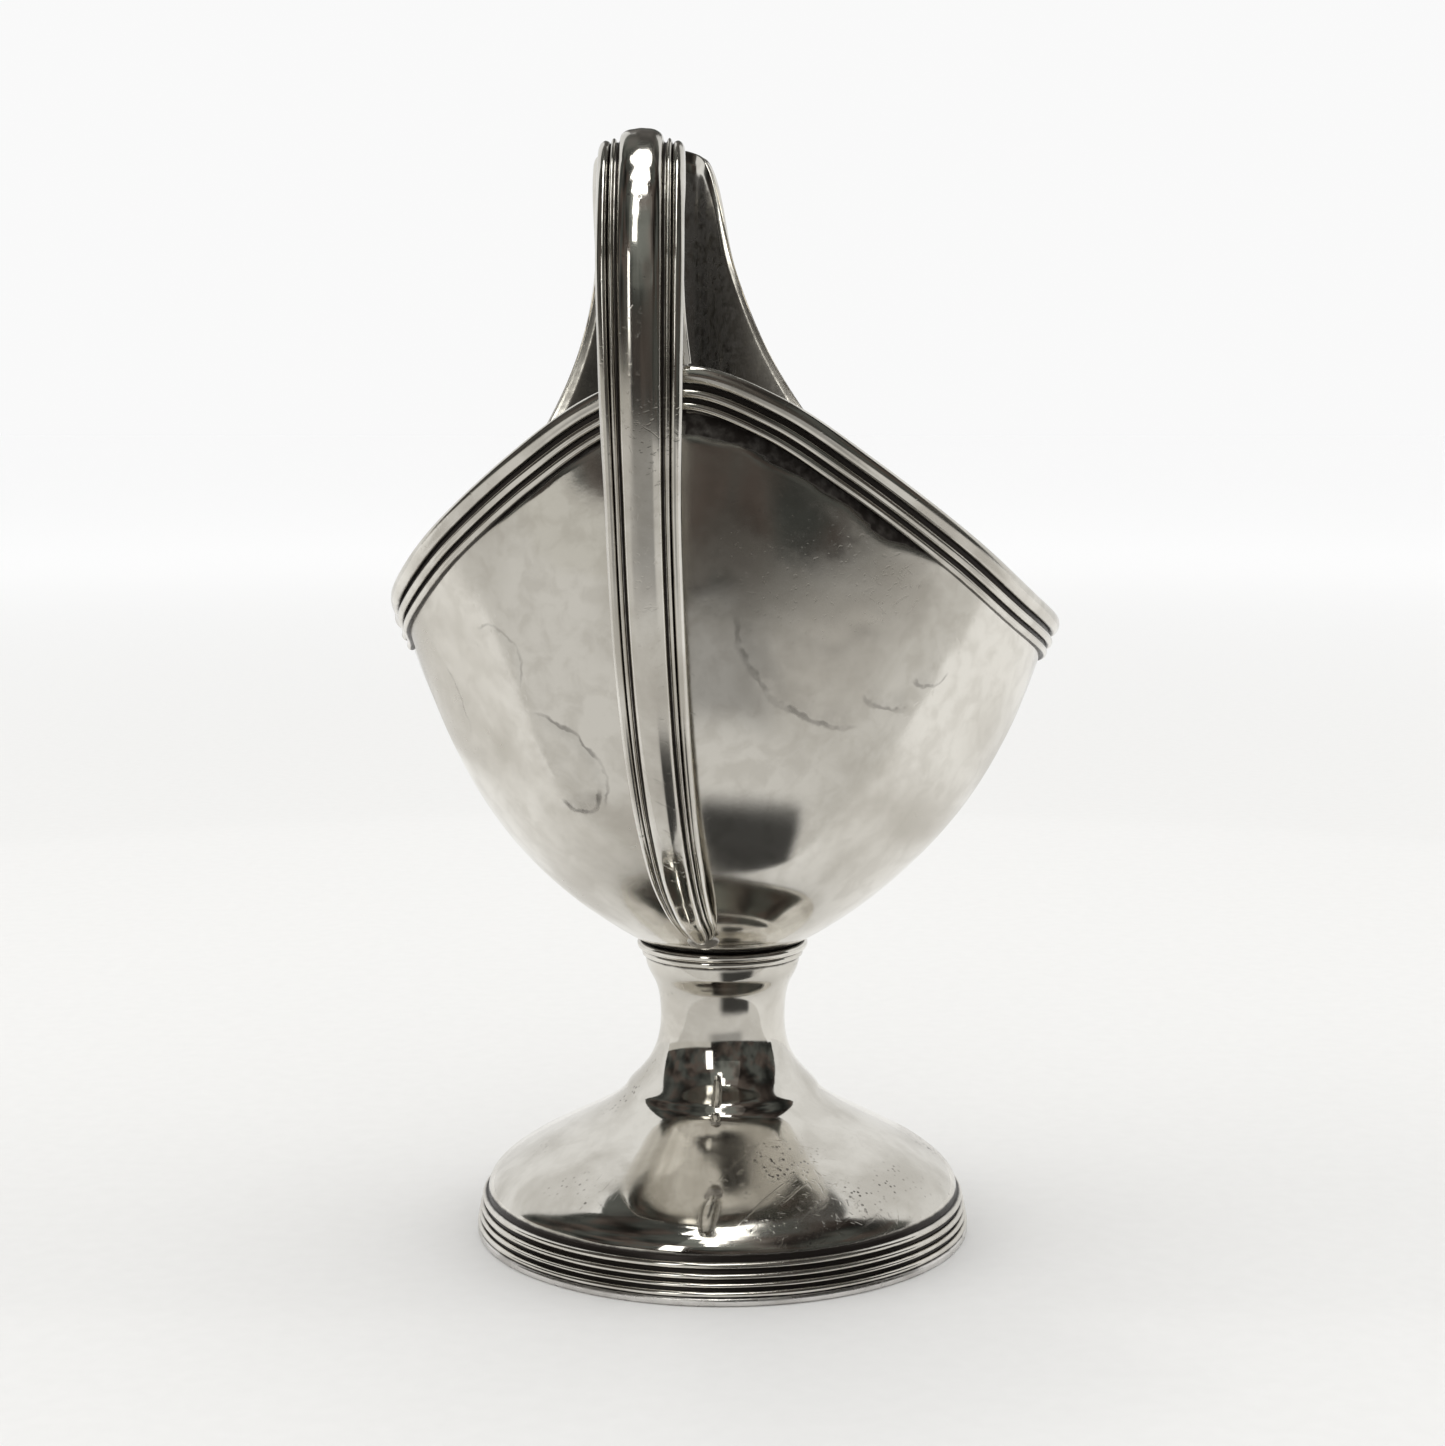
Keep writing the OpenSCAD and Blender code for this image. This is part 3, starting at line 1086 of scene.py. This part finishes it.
@dataclass
class RimBand:
    """The applied band of three reeds that follows the rim.

    Attributes:
        form: Lines of the bowl.
        width: Width of the band across its reeds.
        proud: Height of the widest reed.
        reeds: Start, width and height of each reed, as shares.
        floor: Height of the grooves between the reeds, as a share.
        channel: Share of a reed's pitch that its groove takes.
        over: How far the band stands above the rim line.
        columns: Cells round the band.
        reed_steps: Cells across each reed.
        path_steps: Steps in which the way down from the rim is found.
    """

    form: BowlForm
    width: float = 4.9
    proud: float = 1.11
    reeds: tuple[Triple, ...] = ((0, 0.42, 1), (0.42, 0.32, 0.85), (0.74, 0.26, 0.65))
    floor: float = 0.2
    channel: float = 0.30
    over: float = 0.21
    columns: int = 336
    reed_steps: int = 14
    path_steps: int = 8

    def outline(self) -> Outline:
        """Outline of the band.

        Returns:
            Distance down from the rim, distance out from the wall, and groove value.
        """
        line = []
        for n, (start, width, height) in enumerate(self.reeds):
            if n:
                start, width = start + width * self.channel, width * (1 - self.channel)
            for k, angle in enumerate(half_turn(self.reed_steps)):
                down = self.width * (start + width * (1 - math.cos(angle)) / 2) - self.over
                out = self.proud * (self.floor + (height - self.floor) * math.sin(angle) ** 0.8)
                is_top = n == 0 and k < self.reed_steps / 2
                groove = 0.0 if is_top else (1 - math.sin(angle)) ** 0.95
                line.append((down, out, groove))
        return [*line, (self.width - self.over, -0.55, 1.0), (-self.over, -0.08, 0.0)]

    def path_down(self, u: float) -> list[Pair]:
        """A line on the wall that leaves the rim at a right angle.

        Args:
            u: Place along the rim line.

        Returns:
            Place along the rim line and share of the meridian, at even steps down the line.
        """
        form = self.form
        start = (form.rim(u + 0.1) - form.rim(u - 0.1)).normalized()
        path = [(u, 1.0)]
        step = self.width / self.path_steps
        for _ in range(self.path_steps):
            a, t = path[-1]
            round_way = (form.wall_point(a + 0.02, t) - form.wall_point(a - 0.02, t)) / 0.04
            up_way = cubic_slope(*form.meridian(a), t)
            normal = round_way.cross(up_way).normalized()
            way = normal.cross(start).normalized()
            if way.dot(up_way) > 0:
                way = -way
            uu, uv, vv = round_way.dot(round_way), round_way.dot(up_way), up_way.dot(up_way)
            du, dv = way.dot(round_way), way.dot(up_way)
            whole = uu * vv - uv * uv
            a += step * (du * vv - dv * uv) / whole
            path.append((a, t + step * (dv * uu - du * uv) / whole))
        return path

    def build(self) -> Piece:
        """Builds the band and dresses it.

        Returns:
            The piece.
        """
        form = self.form
        outline = self.outline()
        paths = [self.path_down(i * form.span_count / self.columns) for i in range(self.columns)]

        def place(i: int, j: int) -> Spot:
            """A grid point of the band.

            Args:
                i: Column, round the rim.
                j: Row, round the outline.

            Returns:
                The position and the groove value.
            """
            path = paths[i % self.columns]
            down, out, groove = outline[j % len(outline)]
            along = down / self.width * self.path_steps
            k = min(max(math.floor(along), 0), self.path_steps - 1)
            (u, t), (next_u, next_t) = path[k], path[k + 1]
            u, t = u + (next_u - u) * (along - k), t + (next_t - t) * (along - k)
            p = form.wall_point(u, t) + form.wall_normal(u, min(t, 1.0)) * out
            return form.bowed(p), groove

        bm = sheet(self.columns, len(outline), place)
        return finished(bm, "rim_reeds", Slot.REEDED, "rim_band")


# ---- handle


@dataclass
class StrapHandle:
    """The strap handle: a crowned middle between two reeds and two edge beads.

    Attributes:
        form: Lines of the bowl, whose back the loop's sizes are shares of.
        width: Width at the top of the loop.
        thick: Thickness along the middle.
        thin_share: Share of the thickness that is left where the width runs out.
        offset: How far the handle stands to one side.
        tail: Length of the rounded tail, in spans between stations.
        waviness: Unevenness of the face, as a share of the thickness.
        steps: Cells in each span between stations.
        stations: Share of the offset, of the bowl's reach, of its height and of the width.
    """

    form: BowlForm
    width: float = 8.8
    thick: float = 2.6
    thin_share: float = 0.42
    offset: float = 8.2
    tail: float = 0.8
    waviness: float = 0.028
    steps: int = 14
    stations: tuple[tuple[float, float, float, float], ...] = (
        (0.84, 1.012, 1.001, 0.80),
        (0.94, 1.048, 1.087, 0.84),
        (1.00, 1.139, 1.188, 0.92),
        (1.00, 1.291, 1.276, 0.98),
        (1.00, 1.503, 1.319, 1.00),
        (1.00, 1.715, 1.275, 1.00),
        (1.00, 1.855, 1.152, 1.00),
        (0.99, 1.903, 0.988, 0.95),
        (0.97, 1.873, 0.814, 0.88),
        (0.93, 1.764, 0.638, 0.86),
        (0.86, 1.576, 0.469, 0.83),
        (0.76, 1.333, 0.321, 0.78),
        (0.63, 1.061, 0.201, 0.71),
        (0.49, 0.803, 0.118, 0.62),
        (0.37, 0.606, 0.071, 0.53),
        (0.28, 0.467, 0.037, 0.36),
    )

    def line(self) -> list[Vector]:
        """Middle line of the strap.

        Returns:
            Its points, with the width share as a fourth number.
        """
        reach, base = self.form.back_reach, self.form.base_z
        rise = self.form.back_top - base
        knots = [
            Vector((-x * self.offset, -y * reach, base + z * rise, w))
            for x, y, z, w in self.stations
        ]
        return smooth_run(knots, self.steps)

    def outline(self) -> Outline:
        """Closed outline of the strap.

        Returns:
            Share of the half width, share of the thickness, and groove value.
        """
        crown = [(0, 0.605), (0.16, 0.59), (0.30, 0.545), (0.41, 0.46), (0.48, 0.34), (0.505, 0.14)]
        groove = [(0.505, 0.14), (0.53, 0.06), (0.575, 0.05)]
        reed = [(0.575, 0.05), (0.60, 0.17), (0.645, 0.215), (0.69, 0.15), (0.715, -0.03)]
        bead = [(0.715, -0.03), (0.755, 0.08), (0.84, 0.13), (0.93, 0.04), (0.985, -0.13)]
        bead.append((1.0, -0.30))
        back = [(1.0, -0.30), (0.92, -0.40), (0.5, -0.40), (0, -0.40)]
        dark = (0.54, 0.042), (0.716, 0.022)
        half: Outline = []
        for knots in (crown, groove, reed, bead, back):
            fine = smooth_run([Vector((x, y, 0)) for x, y in knots], 3)
            for p in fine[1 if half else 0 :]:
                deep = max(math.exp(-(((p.x - middle) / width) ** 2)) for middle, width in dark)
                half.append((p.x, p.y, deep if p.y > -0.25 else 0.0))
        return half + [(-x, y, g) for x, y, g in half[-2:0:-1]]

    def build(self) -> Piece:
        """Builds the strap and dresses it.

        Returns:
            The piece.
        """
        line = self.line()
        last = len(line) - 1
        outline = self.outline()

        def place(i: int, j: int) -> Spot:
            """A grid point of the strap.

            Args:
                i: Column, along the strap.
                j: Row, round its outline.

            Returns:
                The position and the groove value.
            """
            p = line[i]
            along = (line[min(i + 1, last)] - line[max(i - 1, 0)]).to_3d().normalized()
            across = (along * along.x - Vector((1, 0, 0))).normalized()
            out = across.cross(along)
            share = p.w
            end = max(0.0, 1 - (last - i) / (self.tail * self.steps))
            close = math.sqrt(max(0.0, 1 - (end * 0.93) ** 2))
            side, up, groove = outline[j % len(outline)]
            thick = self.thick * (self.thin_share + (1 - self.thin_share) * share)
            if up > -0.2:
                up += self.waviness * noise.noise(Vector((side * 4.5, i / 34.0, 2.0)))
            half_w = self.width * share / 2 * close
            return p.to_3d() + across * (side * half_w) + out * (up * thick * close), groove

        bm = sheet(last, len(outline), place)
        bmesh.ops.holes_fill(bm, edges=[e for e in bm.edges if e.is_boundary], sides=0)
        bmesh.ops.recalc_face_normals(bm, faces=bm.faces)
        HandWork(swell=(0.05, 9.0), planish=(0.008, 3.0)).apply(bm)
        return finished(bm, "strap_handle", Slot.STRAP, "handle")


@dataclass
class SolderSeams:
    """Silver solder at the handle's two ends and under the bowl.

    Attributes:
        root, root_size, root_lean: Middle, half sizes and lean of the fillet at the rim.
        tail, tail_size, tail_lean: Middle, half sizes and lean of the fillet under the tail.
        seat: Radius, height and groove value of each corner of the seam under the bowl.
    """

    root: Triple = (-6.9, -33.4, 107.5)
    root_size: Triple = (3.2, 1.1, 0.9)
    root_lean: Triple = (0, -9, 0)
    tail: Triple = (-2.3, -15.5, 39.9)
    tail_size: Triple = (1.9, 1.5, 0.55)
    tail_lean: Triple = (-43, 0, 0)
    seat: tuple[Triple, ...] = (
        (7.9, 37.05, 0.6),
        (10.0, 37.05, 0.8),
        (10.12, 37.17, 1.0),
        (10.0, 37.3, 0.8),
        (7.9, 37.3, 0.6),
    )

    def fillet(self, name: str, node: str, centre: Triple, size: Triple, lean: Triple) -> Piece:
        """One soft lump of solder.

        Args:
            name: Name of the piece.
            node: CAD node that it stands for.
            centre: Its middle.
            size: Its half sizes.
            lean: Its rotation in degrees.

        Returns:
            The piece.
        """
        lie = Euler(radians(lean)).to_matrix()
        bm = new_mesh()
        bmesh.ops.create_icosphere(bm, subdivisions=5, radius=1.0)
        bmesh.ops.scale(bm, vec=size, verts=bm.verts)
        bmesh.ops.rotate(bm, verts=bm.verts, matrix=lie)
        bmesh.ops.translate(bm, vec=centre, verts=bm.verts)
        HandWork(swell=(0.12, 1.6), planish=(0.04, 0.6)).apply(bm)
        return finished(bm, name, Slot.SOLDER, node)

    def build(self) -> list[Piece]:
        """Builds the seams and dresses them.

        Returns:
            The pieces.
        """
        root = self.root, self.root_size, self.root_lean
        tail = self.tail, self.tail_size, self.tail_lean
        seam = turned(self.seat, 128)
        return [
            self.fillet("root_solder", "handle_top_solder", *root),
            self.fillet("tail_solder", "handle_tail_solder", *tail),
            finished(seam, "seat_solder", Slot.SOLDER, "bowl_seat_solder"),
        ]


# ---- foot and stem


@dataclass
class Pedestal:
    """The hollow domed foot and spool stem, with the collar, reeded edge and base ring.

    Attributes:
        foot_r: Radius of the foot at its resting edge.
        waist_r: Radius of the stem at its waist.
        top: Height of the stem's top flange.
        reeded_h: Height of the reeded edge.
        base_h: Height of the plain base ring.
        wall: Thickness of the sheet.
        beads: Share of the height, and radius short of the foot's, of each bead.
        groove: Depth of the grooves between the beads.
        channel: Share of a bead's pitch that its groove takes.
        skirt: How far the skirt behind the reeded edge lies inside the foot's radius.
        collar_r, collar_t: Radius and thickness of the collar ring.
        steps, collar_steps: Cells round the axis.
        work: Unevenness and dents of the sheet.
    """

    foot_r: float = 31.0
    waist_r: float = 7.8
    top: float = 36.0
    reeded_h: float = 5.5
    base_h: float = 1.1
    wall: float = 0.9
    beads: tuple[Pair, ...] = ((0.29, 0.65), (0.26, 0.4), (0.21, 0.2), (0.24, 0.0))
    groove: float = 0.6
    channel: float = 0.34
    skirt: float = 1.4
    collar_r: float = 10.7
    collar_t: float = 1.1
    steps: int = 288
    collar_steps: int = 192
    work: HandWork = HandWork(
        swell=(0.07, 8.5),
        planish=(0.02, 3.2),
        dents=(
            Dent(DentKind.HOLLOW, (20.0, -16.0, 9.5), 3.0, 0.10),
            Dent(DentKind.HOLLOW, (-19.0, -17.0, 9.3), 3.5, 0.10),
            Dent(DentKind.HOLLOW, (-9.0, 22.0, 9.8), 4.0, 0.12),
        ),
    )

    @property
    def skirt_r(self) -> float:
        """Radius of the skirt behind the reeded edge."""
        return self.foot_r - self.skirt

    def outer_line(self) -> list[Vector]:
        """Outer line of the sheet, from the skirt over the dome and up the stem.

        Returns:
            Its points, as radius and height.
        """
        skirt, waist = self.skirt_r, self.waist_r
        spans = (
            (((skirt, 5.6), (skirt - 0.3, 9.9), (13.8, 14.6), (12.1, 18.2)), 34),
            (((12.1, 18.2), (11.4, 19.6), (waist, 21.2), (waist, 27.0)), 20),
            (((waist, 27.0), (waist, 33.0), (9.4, 31.8), (9.7, 35.15)), 20),
        )
        line: list[Vector] = []
        for corners, steps in spans:
            a, b, c, d = (Vector((r, z, 0)) for r, z in corners)
            line += [cubic(a, b, c, d, k / steps) for k in range(1 if line else 0, steps + 1)]
        return line

    def sheet_outline(self) -> Outline:
        """Closed outline of the pedestal's sheet, with its small top flange.

        Returns:
            Radius, height and groove value of each corner.
        """
        outer = self.outer_line()
        last = len(outer) - 1
        skin, inner = [], []
        for k, p in enumerate(outer):
            edge = 1 - smooth_step(0.0, 0.9, p.y - self.reeded_h)
            neck = smooth_step(self.top - 1.5, self.top - 0.9, p.y)
            skin.append((p.x, p.y, max(edge, 0.9 * neck)))
            way = (outer[min(k + 1, last)] - outer[max(k - 1, 0)]).normalized()
            q = p - self.wall * Vector((way.y, -way.x, 0))
            inner.append((q.x, q.y, 0.5))
        flange = (
            (9.95, 0.8, 0.5),
            (10.06, 0.72, 0.0),
            (10.1, 0.55, 0.0),
            (10.1, 0.3, 0.0),
            (10.04, 0.1, 0.0),
            (9.9, 0.02, 0.9),
            (8.9, 0.0, 1.0),
        )
        skin += [(radius, self.top - down, groove) for radius, down, groove in flange]
        foot = [(r, self.base_h, 0.5) for r in (self.skirt_r, self.skirt_r - self.wall)]
        return [foot[0], *skin, *inner[::-1], foot[1]]

    def bead_outline(self) -> Outline:
        """Closed outline of the reeded edge.

        Returns:
            Radius, height and groove value of each corner.
        """
        line = [(self.skirt_r, self.reeded_h, 1.0)]
        start = 0.0
        height = self.reeded_h - self.base_h
        for share, short in self.beads:
            gap = share * self.channel
            for angle in half_turn(BEAD_STEPS):
                full = math.sin(angle) ** 0.8
                radius = self.foot_r - short - self.groove * (1 - full)
                down = start + gap + (share - gap) * (1 - math.cos(angle)) / 2
                line.append((radius, self.reeded_h - height * down, (1 - full) ** 0.9))
            start += share
        return [*line, (self.skirt_r, self.base_h, 0.5)]

    def ring_outline(self) -> Outline:
        """Closed outline of the plain base ring.

        Returns:
            Radius, height and groove value of each corner.
        """
        inner = self.skirt_r - self.wall
        rounded = (
            (0.45, 0.0, 0.0),
            (0.15, 0.08, 0.0),
            (0.02, 0.3, 0.0),
            (0.0, 0.55, 0.0),
            (0.03, 0.8, 0.1),
            (0.15, 0.98, 0.6),
            (0.5, self.base_h, 1.0),
        )
        outer = [(self.foot_r - short, z, groove) for short, z, groove in rounded]
        return [(inner, 0.25, 0.3), (inner + 0.25, 0.02, 0.0), *outer, (inner, self.base_h, 0.3)]

    def collar_outline(self) -> Outline:
        """Closed outline of the collar ring.

        Returns:
            Radius, height and groove value of each corner.
        """
        edge = self.collar_t / 2
        inner = self.waist_r + 0.1
        line = [(inner, self.top, 0.4)]
        for angle in half_turn(BEAD_STEPS):
            reach = self.collar_r - edge + edge * math.sin(angle)
            height = self.top + edge * (1 - math.cos(angle))
            line.append((reach, height, (1 - math.sin(angle)) ** 2))
        return [*line, (inner, self.top + self.collar_t, 0.4)]

    def build(self) -> list[Piece]:
        """Builds the foot's pieces and dresses them.

        Returns:
            The pieces.
        """
        body = turned(self.sheet_outline(), self.steps)
        self.work.apply(body, lambda p: self.reeded_h + 0.6 < p.z < self.top - 1.5)
        beads = turned(self.bead_outline(), self.steps)
        HandWork(swell=(0.04, 6.0), planish=(0.012, 2.0)).apply(
            beads, lambda p: math.hypot(p.x, p.y) > self.skirt_r + 0.2
        )
        base = turned(self.ring_outline(), self.steps)
        HandWork(swell=(0.03, 5.0), planish=(0.02, 1.6)).apply(
            base, lambda p: math.hypot(p.x, p.y) > self.foot_r - 0.3 and p.z > 0.2
        )
        collar = turned(self.collar_outline(), self.collar_steps)
        return [
            finished(body, "pedestal_sheet", Slot.PEDESTAL, "pedestal"),
            finished(beads, "foot_beads", Slot.REEDED, "foot_reeded_band"),
            finished(base, "base_ring", Slot.BASE, "foot_base_ring"),
            finished(collar, "collar", Slot.COLLAR, "collar_ring"),
        ]


# ---- studio


@dataclass
class Studio:
    """Pale floor, soft lights, and cards that only the polished metal mirrors.

    Attributes:
        floor_size: Half size of the floor.
        sky: Brightness of the even sky.
        aim: Height that the curved cards are set round, in metres.
        table: Brightness of the table's front.
        eye: Place of the camera.
        pitch: Angle at which it looks down, in degrees.
        sensor, lens: Its sensor's width and its focal length.
    """

    floor_size: float = 6.0
    sky: float = 0.95
    aim: float = 0.08
    table: float = 0.66
    eye: Triple = (0.0, -0.3206, 0.1051)
    pitch: float = 7.27
    sensor: float = 36.0
    lens: float = 64.73

    def glow(self, name: str, colour: Colour, strength: float, uneven: float = 0.0) -> Material:
        """Material of a card that sends out an even or cloudy light.

        Args:
            name: Name of the material.
            colour: Its colour.
            strength: Its brightness.
            uneven: How cloudy it is.

        Returns:
            The material.
        """
        made, graph, shader = new_material(name)
        made.node_tree.nodes.remove(shader)
        shine = graph.node("ShaderNodeEmission", {"Color": colour, "Strength": strength})
        if uneven:
            ends = strength * (1 - uneven), strength * (1 + uneven)
            cloud = graph.span(graph.noise(1.9, 2.0), 0.35, 0.65, *ends)
            graph.feed(shine.inputs["Strength"], cloud)
            turned_cloud = graph.noise(2.6, 1.0, graph.stretched((0, 0, 40), (1, 1, 1)))
            tint = graph.span(turned_cloud, 0.42, 0.58)
            graph.feed(shine.inputs["Color"], graph.mix(tint, colour, (0.84, 0.88, 0.81, 1)))
        out = made.node_tree.nodes["Material Output"]
        graph.feed(out.inputs["Surface"], shine.outputs["Emission"])
        return made

    def card(self, bm: Mesh, name: str, material: Material) -> None:
        """Places a card that is seen in reflections and nowhere else.

        Args:
            bm: Its mesh, in metres. It is freed.
            name: Its name.
            material: Its material.
        """
        card = placed(bm, name, material)
        card.visible_camera = False
        card.visible_diffuse = False
        card.visible_shadow = False

    def curved_card(
        self, name: str, material: Material, radius: float, sides: Pair, heights: Pair
    ) -> None:
        """Places a card bent round the jug at an even distance.

        Args:
            name: Its name.
            material: Its material.
            radius: Its distance from the jug.
            sides: Headings of its two ends, in degrees from the camera's side towards +X.
            heights: Lowest and highest angle above the jug's middle, in degrees.
        """
        bm = bmesh.new()
        start, end = (math.radians(side) for side in sides)
        rows = 12
        verts = []
        for k in range(rows + 1):
            lift = math.radians(heights[0] + (heights[1] - heights[0]) * k / rows)
            flat = radius * math.cos(lift)
            place = flat * math.sin(start), -flat * math.cos(start)
            verts.append(bm.verts.new((*place, self.aim + radius * math.sin(lift))))
        edges = [bm.edges.new(pair) for pair in zip(verts, verts[1:])]
        geom = [*verts, *edges]
        bmesh.ops.spin(bm, geom=geom, cent=(0, 0, 0), axis=(0, 0, 1), angle=end - start, steps=48)
        self.card(bm, name, material)

    def build_floor(self) -> None:
        """Builds the pale floor, whose colour grows brighter away from the jug: painted shade near
        the jug.
        """
        made, graph, shader = new_material("pale floor")
        near = graph.mix(graph.noise(400.0, 3.0), (0.78, 0.775, 0.76, 1), (0.82, 0.815, 0.80, 1))
        share = graph.span(graph.vector("LENGTH", graph.coords), 0.2, 1.5)
        graph.feed(shader.inputs["Base Color"], graph.mix(share, near, (1.0, 1.0, 1.0, 1)))
        shader.inputs["Roughness"].default_value = 0.8
        shader.inputs["Specular IOR Level"].default_value = 0.2
        bm = bmesh.new()
        bmesh.ops.create_grid(bm, x_segments=4, y_segments=4, size=self.floor_size)
        placed(bm, "floor", made)

    def build_lights(self) -> None:
        """Places the soft lights and the even sky."""
        world = bpy.data.worlds.new("studio")
        bpy.context.scene.world = world
        world.use_nodes = True
        back = world.node_tree.nodes["Background"]
        back.inputs["Color"].default_value = (1.0, 1.0, 1.0, 1.0)
        back.inputs["Strength"].default_value = self.sky
        for name, place, size, power in (
            ("left box", (-0.9, -0.1, 0.7), 0.8, 1.6),
            ("right box", (0.9, 0.1, 0.7), 0.8, 1.2),
            ("top box", (0.0, 0.2, 1.2), 1.0, 1.6),
        ):
            data = bpy.data.lights.new(name, "AREA")
            data.shape = "DISK"
            data.size = size
            data.energy = power
            light = bpy.data.objects.new(name, data)
            light.location = place
            way = Vector((0, 0, 0.07)) - Vector(place)
            light.rotation_euler = way.to_track_quat("-Z", "Y").to_euler()
            light.visible_glossy = False
            bpy.context.scene.collection.objects.link(light)

    def build_cards(self) -> None:
        """Places the dark room, the pale screens, the window, the lamp and the table's front."""
        room = self.glow("dark room", (1.0, 0.82, 0.72, 1), 0.06, 0.75)
        side = self.glow("left side", (1, 0.98, 0.92, 1), 0.6)
        back = self.glow("dim room", (0.95, 0.9, 0.85, 1), 0.10, 0.6)
        screen = self.glow("screen", (1.0, 1.0, 0.99, 1), 0.82)
        front = self.glow("front of the room", (1.0, 0.9, 0.82, 1), 0.15, 0.5)
        window = self.glow("window", (1.0, 1.0, 0.97, 1), 2.6)
        lamp = self.glow("lamp", (1.0, 1.0, 0.97, 1), 4.0)
        for name, glow, radius, sides, heights in (
            ("room_right", room, 1.2, (-22, 98), (-4, 90)),
            ("room_left", room, 1.2, (-108, -22), (3, 90)),
            ("left_side", side, 1.19, (-108, -22), (-8, 3)),
            ("ceiling", back, 1.2, (98, 252), (4, 90)),
            ("screen_right", screen, 0.34, (98, 162), (-13, 50)),
            ("screen_left", screen, 0.34, (192, 252), (-13, 50)),
            ("screen_back", screen, 0.34, (162, 192), (-13, 24)),
            ("front", front, 1.15, (-24, 30), (22, 60)),
            ("window", window, 1.1, (-30, -19), (8, 34)),
            ("lamp_tail", lamp, 1.1, (-10, -3), (40, 50)),
            ("lamp_low", lamp, 1.1, (-14, 2), (50, 60)),
            ("lamp", lamp, 1.1, (-24, 14), (60, 68)),
            ("lamp_high", lamp, 1.1, (-38, 30), (68, 90)),
            ("lamp_top", lamp, 1.1, (0, 360), (78, 90)),
        ):
            self.curved_card(name, glow, radius, sides, heights)
        bm = bmesh.new()
        bmesh.ops.create_grid(bm, x_segments=1, y_segments=1, size=1.0)
        bmesh.ops.scale(bm, vec=(1.1, 0.5945, 1), verts=bm.verts)
        bmesh.ops.translate(bm, vec=(0.0, -0.6265, 0.0014), verts=bm.verts)
        self.card(bm, "table_front", self.table_glow())

    def table_glow(self) -> Material:
        """Material of the table's front, with the shade of the room and of the jug on it.

        Returns:
            The material.
        """
        made = self.glow("table front", (1.0, 0.985, 0.95, 1), self.table)
        graph = Graph(made.node_tree)
        axes = graph.node("ShaderNodeSeparateXYZ", {"Vector": graph.coords})
        away = graph.vector("LENGTH", graph.coords)
        slant = graph.math("DIVIDE", axes.outputs["X"], axes.outputs["Y"])
        far = graph.times(graph.span(away, 0.32, 1.05), graph.fall(slant, 0.15, 0.5))
        near = graph.math("ABSOLUTE", graph.plus(slant, 0.5))
        near = graph.times(graph.fall(near, 0.42, 0.72), 0.95)
        near = graph.times(near, graph.fall(away, 0.06, 0.088))
        # The wedge is painted shade on the table in front of the jug, towards the camera.
        wedge = graph.math("ABSOLUTE", graph.plus(slant, 0.12))
        wedge = graph.times(graph.fall(wedge, 0.35, 0.85), 0.5)
        wedge = graph.times(wedge, graph.span(away, 0.09, 0.19))
        shade = graph.most(graph.most(far, near), wedge)
        strength = graph.span(shade, 0.0, 1.0, self.table, 0.05)
        graph.feed(made.node_tree.nodes["Emission"].inputs["Strength"], strength)
        return made

    def build_camera(self) -> None:
        """Places the camera."""
        data = bpy.data.cameras.new("camera")
        data.sensor_width = self.sensor
        data.lens = self.lens
        data.clip_start = 0.01
        data.clip_end = 50.0
        camera = bpy.data.objects.new("camera", data)
        camera.location = self.eye
        camera.rotation_euler = (math.radians(90 - self.pitch), 0, 0)
        bpy.context.scene.collection.objects.link(camera)
        bpy.context.scene.camera = camera

    def build(self) -> None:
        """Builds the whole studio."""
        bpy.context.scene.view_settings.view_transform = "Standard"
        self.build_floor()
        self.build_lights()
        self.build_cards()
        self.build_camera()


def corners(box: Sequence[Sequence[float]]) -> list[list[float]]:
    """A box as plain lists of numbers."""
    return [[float(x) for x in corner] for corner in box]


def main() -> None:
    """Builds the jug piece by piece."""
    logging.basicConfig(level=logging.INFO, format="%(name)s: %(message)s")
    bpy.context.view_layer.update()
    form = BowlForm()
    Studio().build()
    Bowl(form).build()
    RimBand(form).build()
    StrapHandle(form).build()
    SolderSeams().build()
    Pedestal().build()


if __name__ == "__main__":
    main()
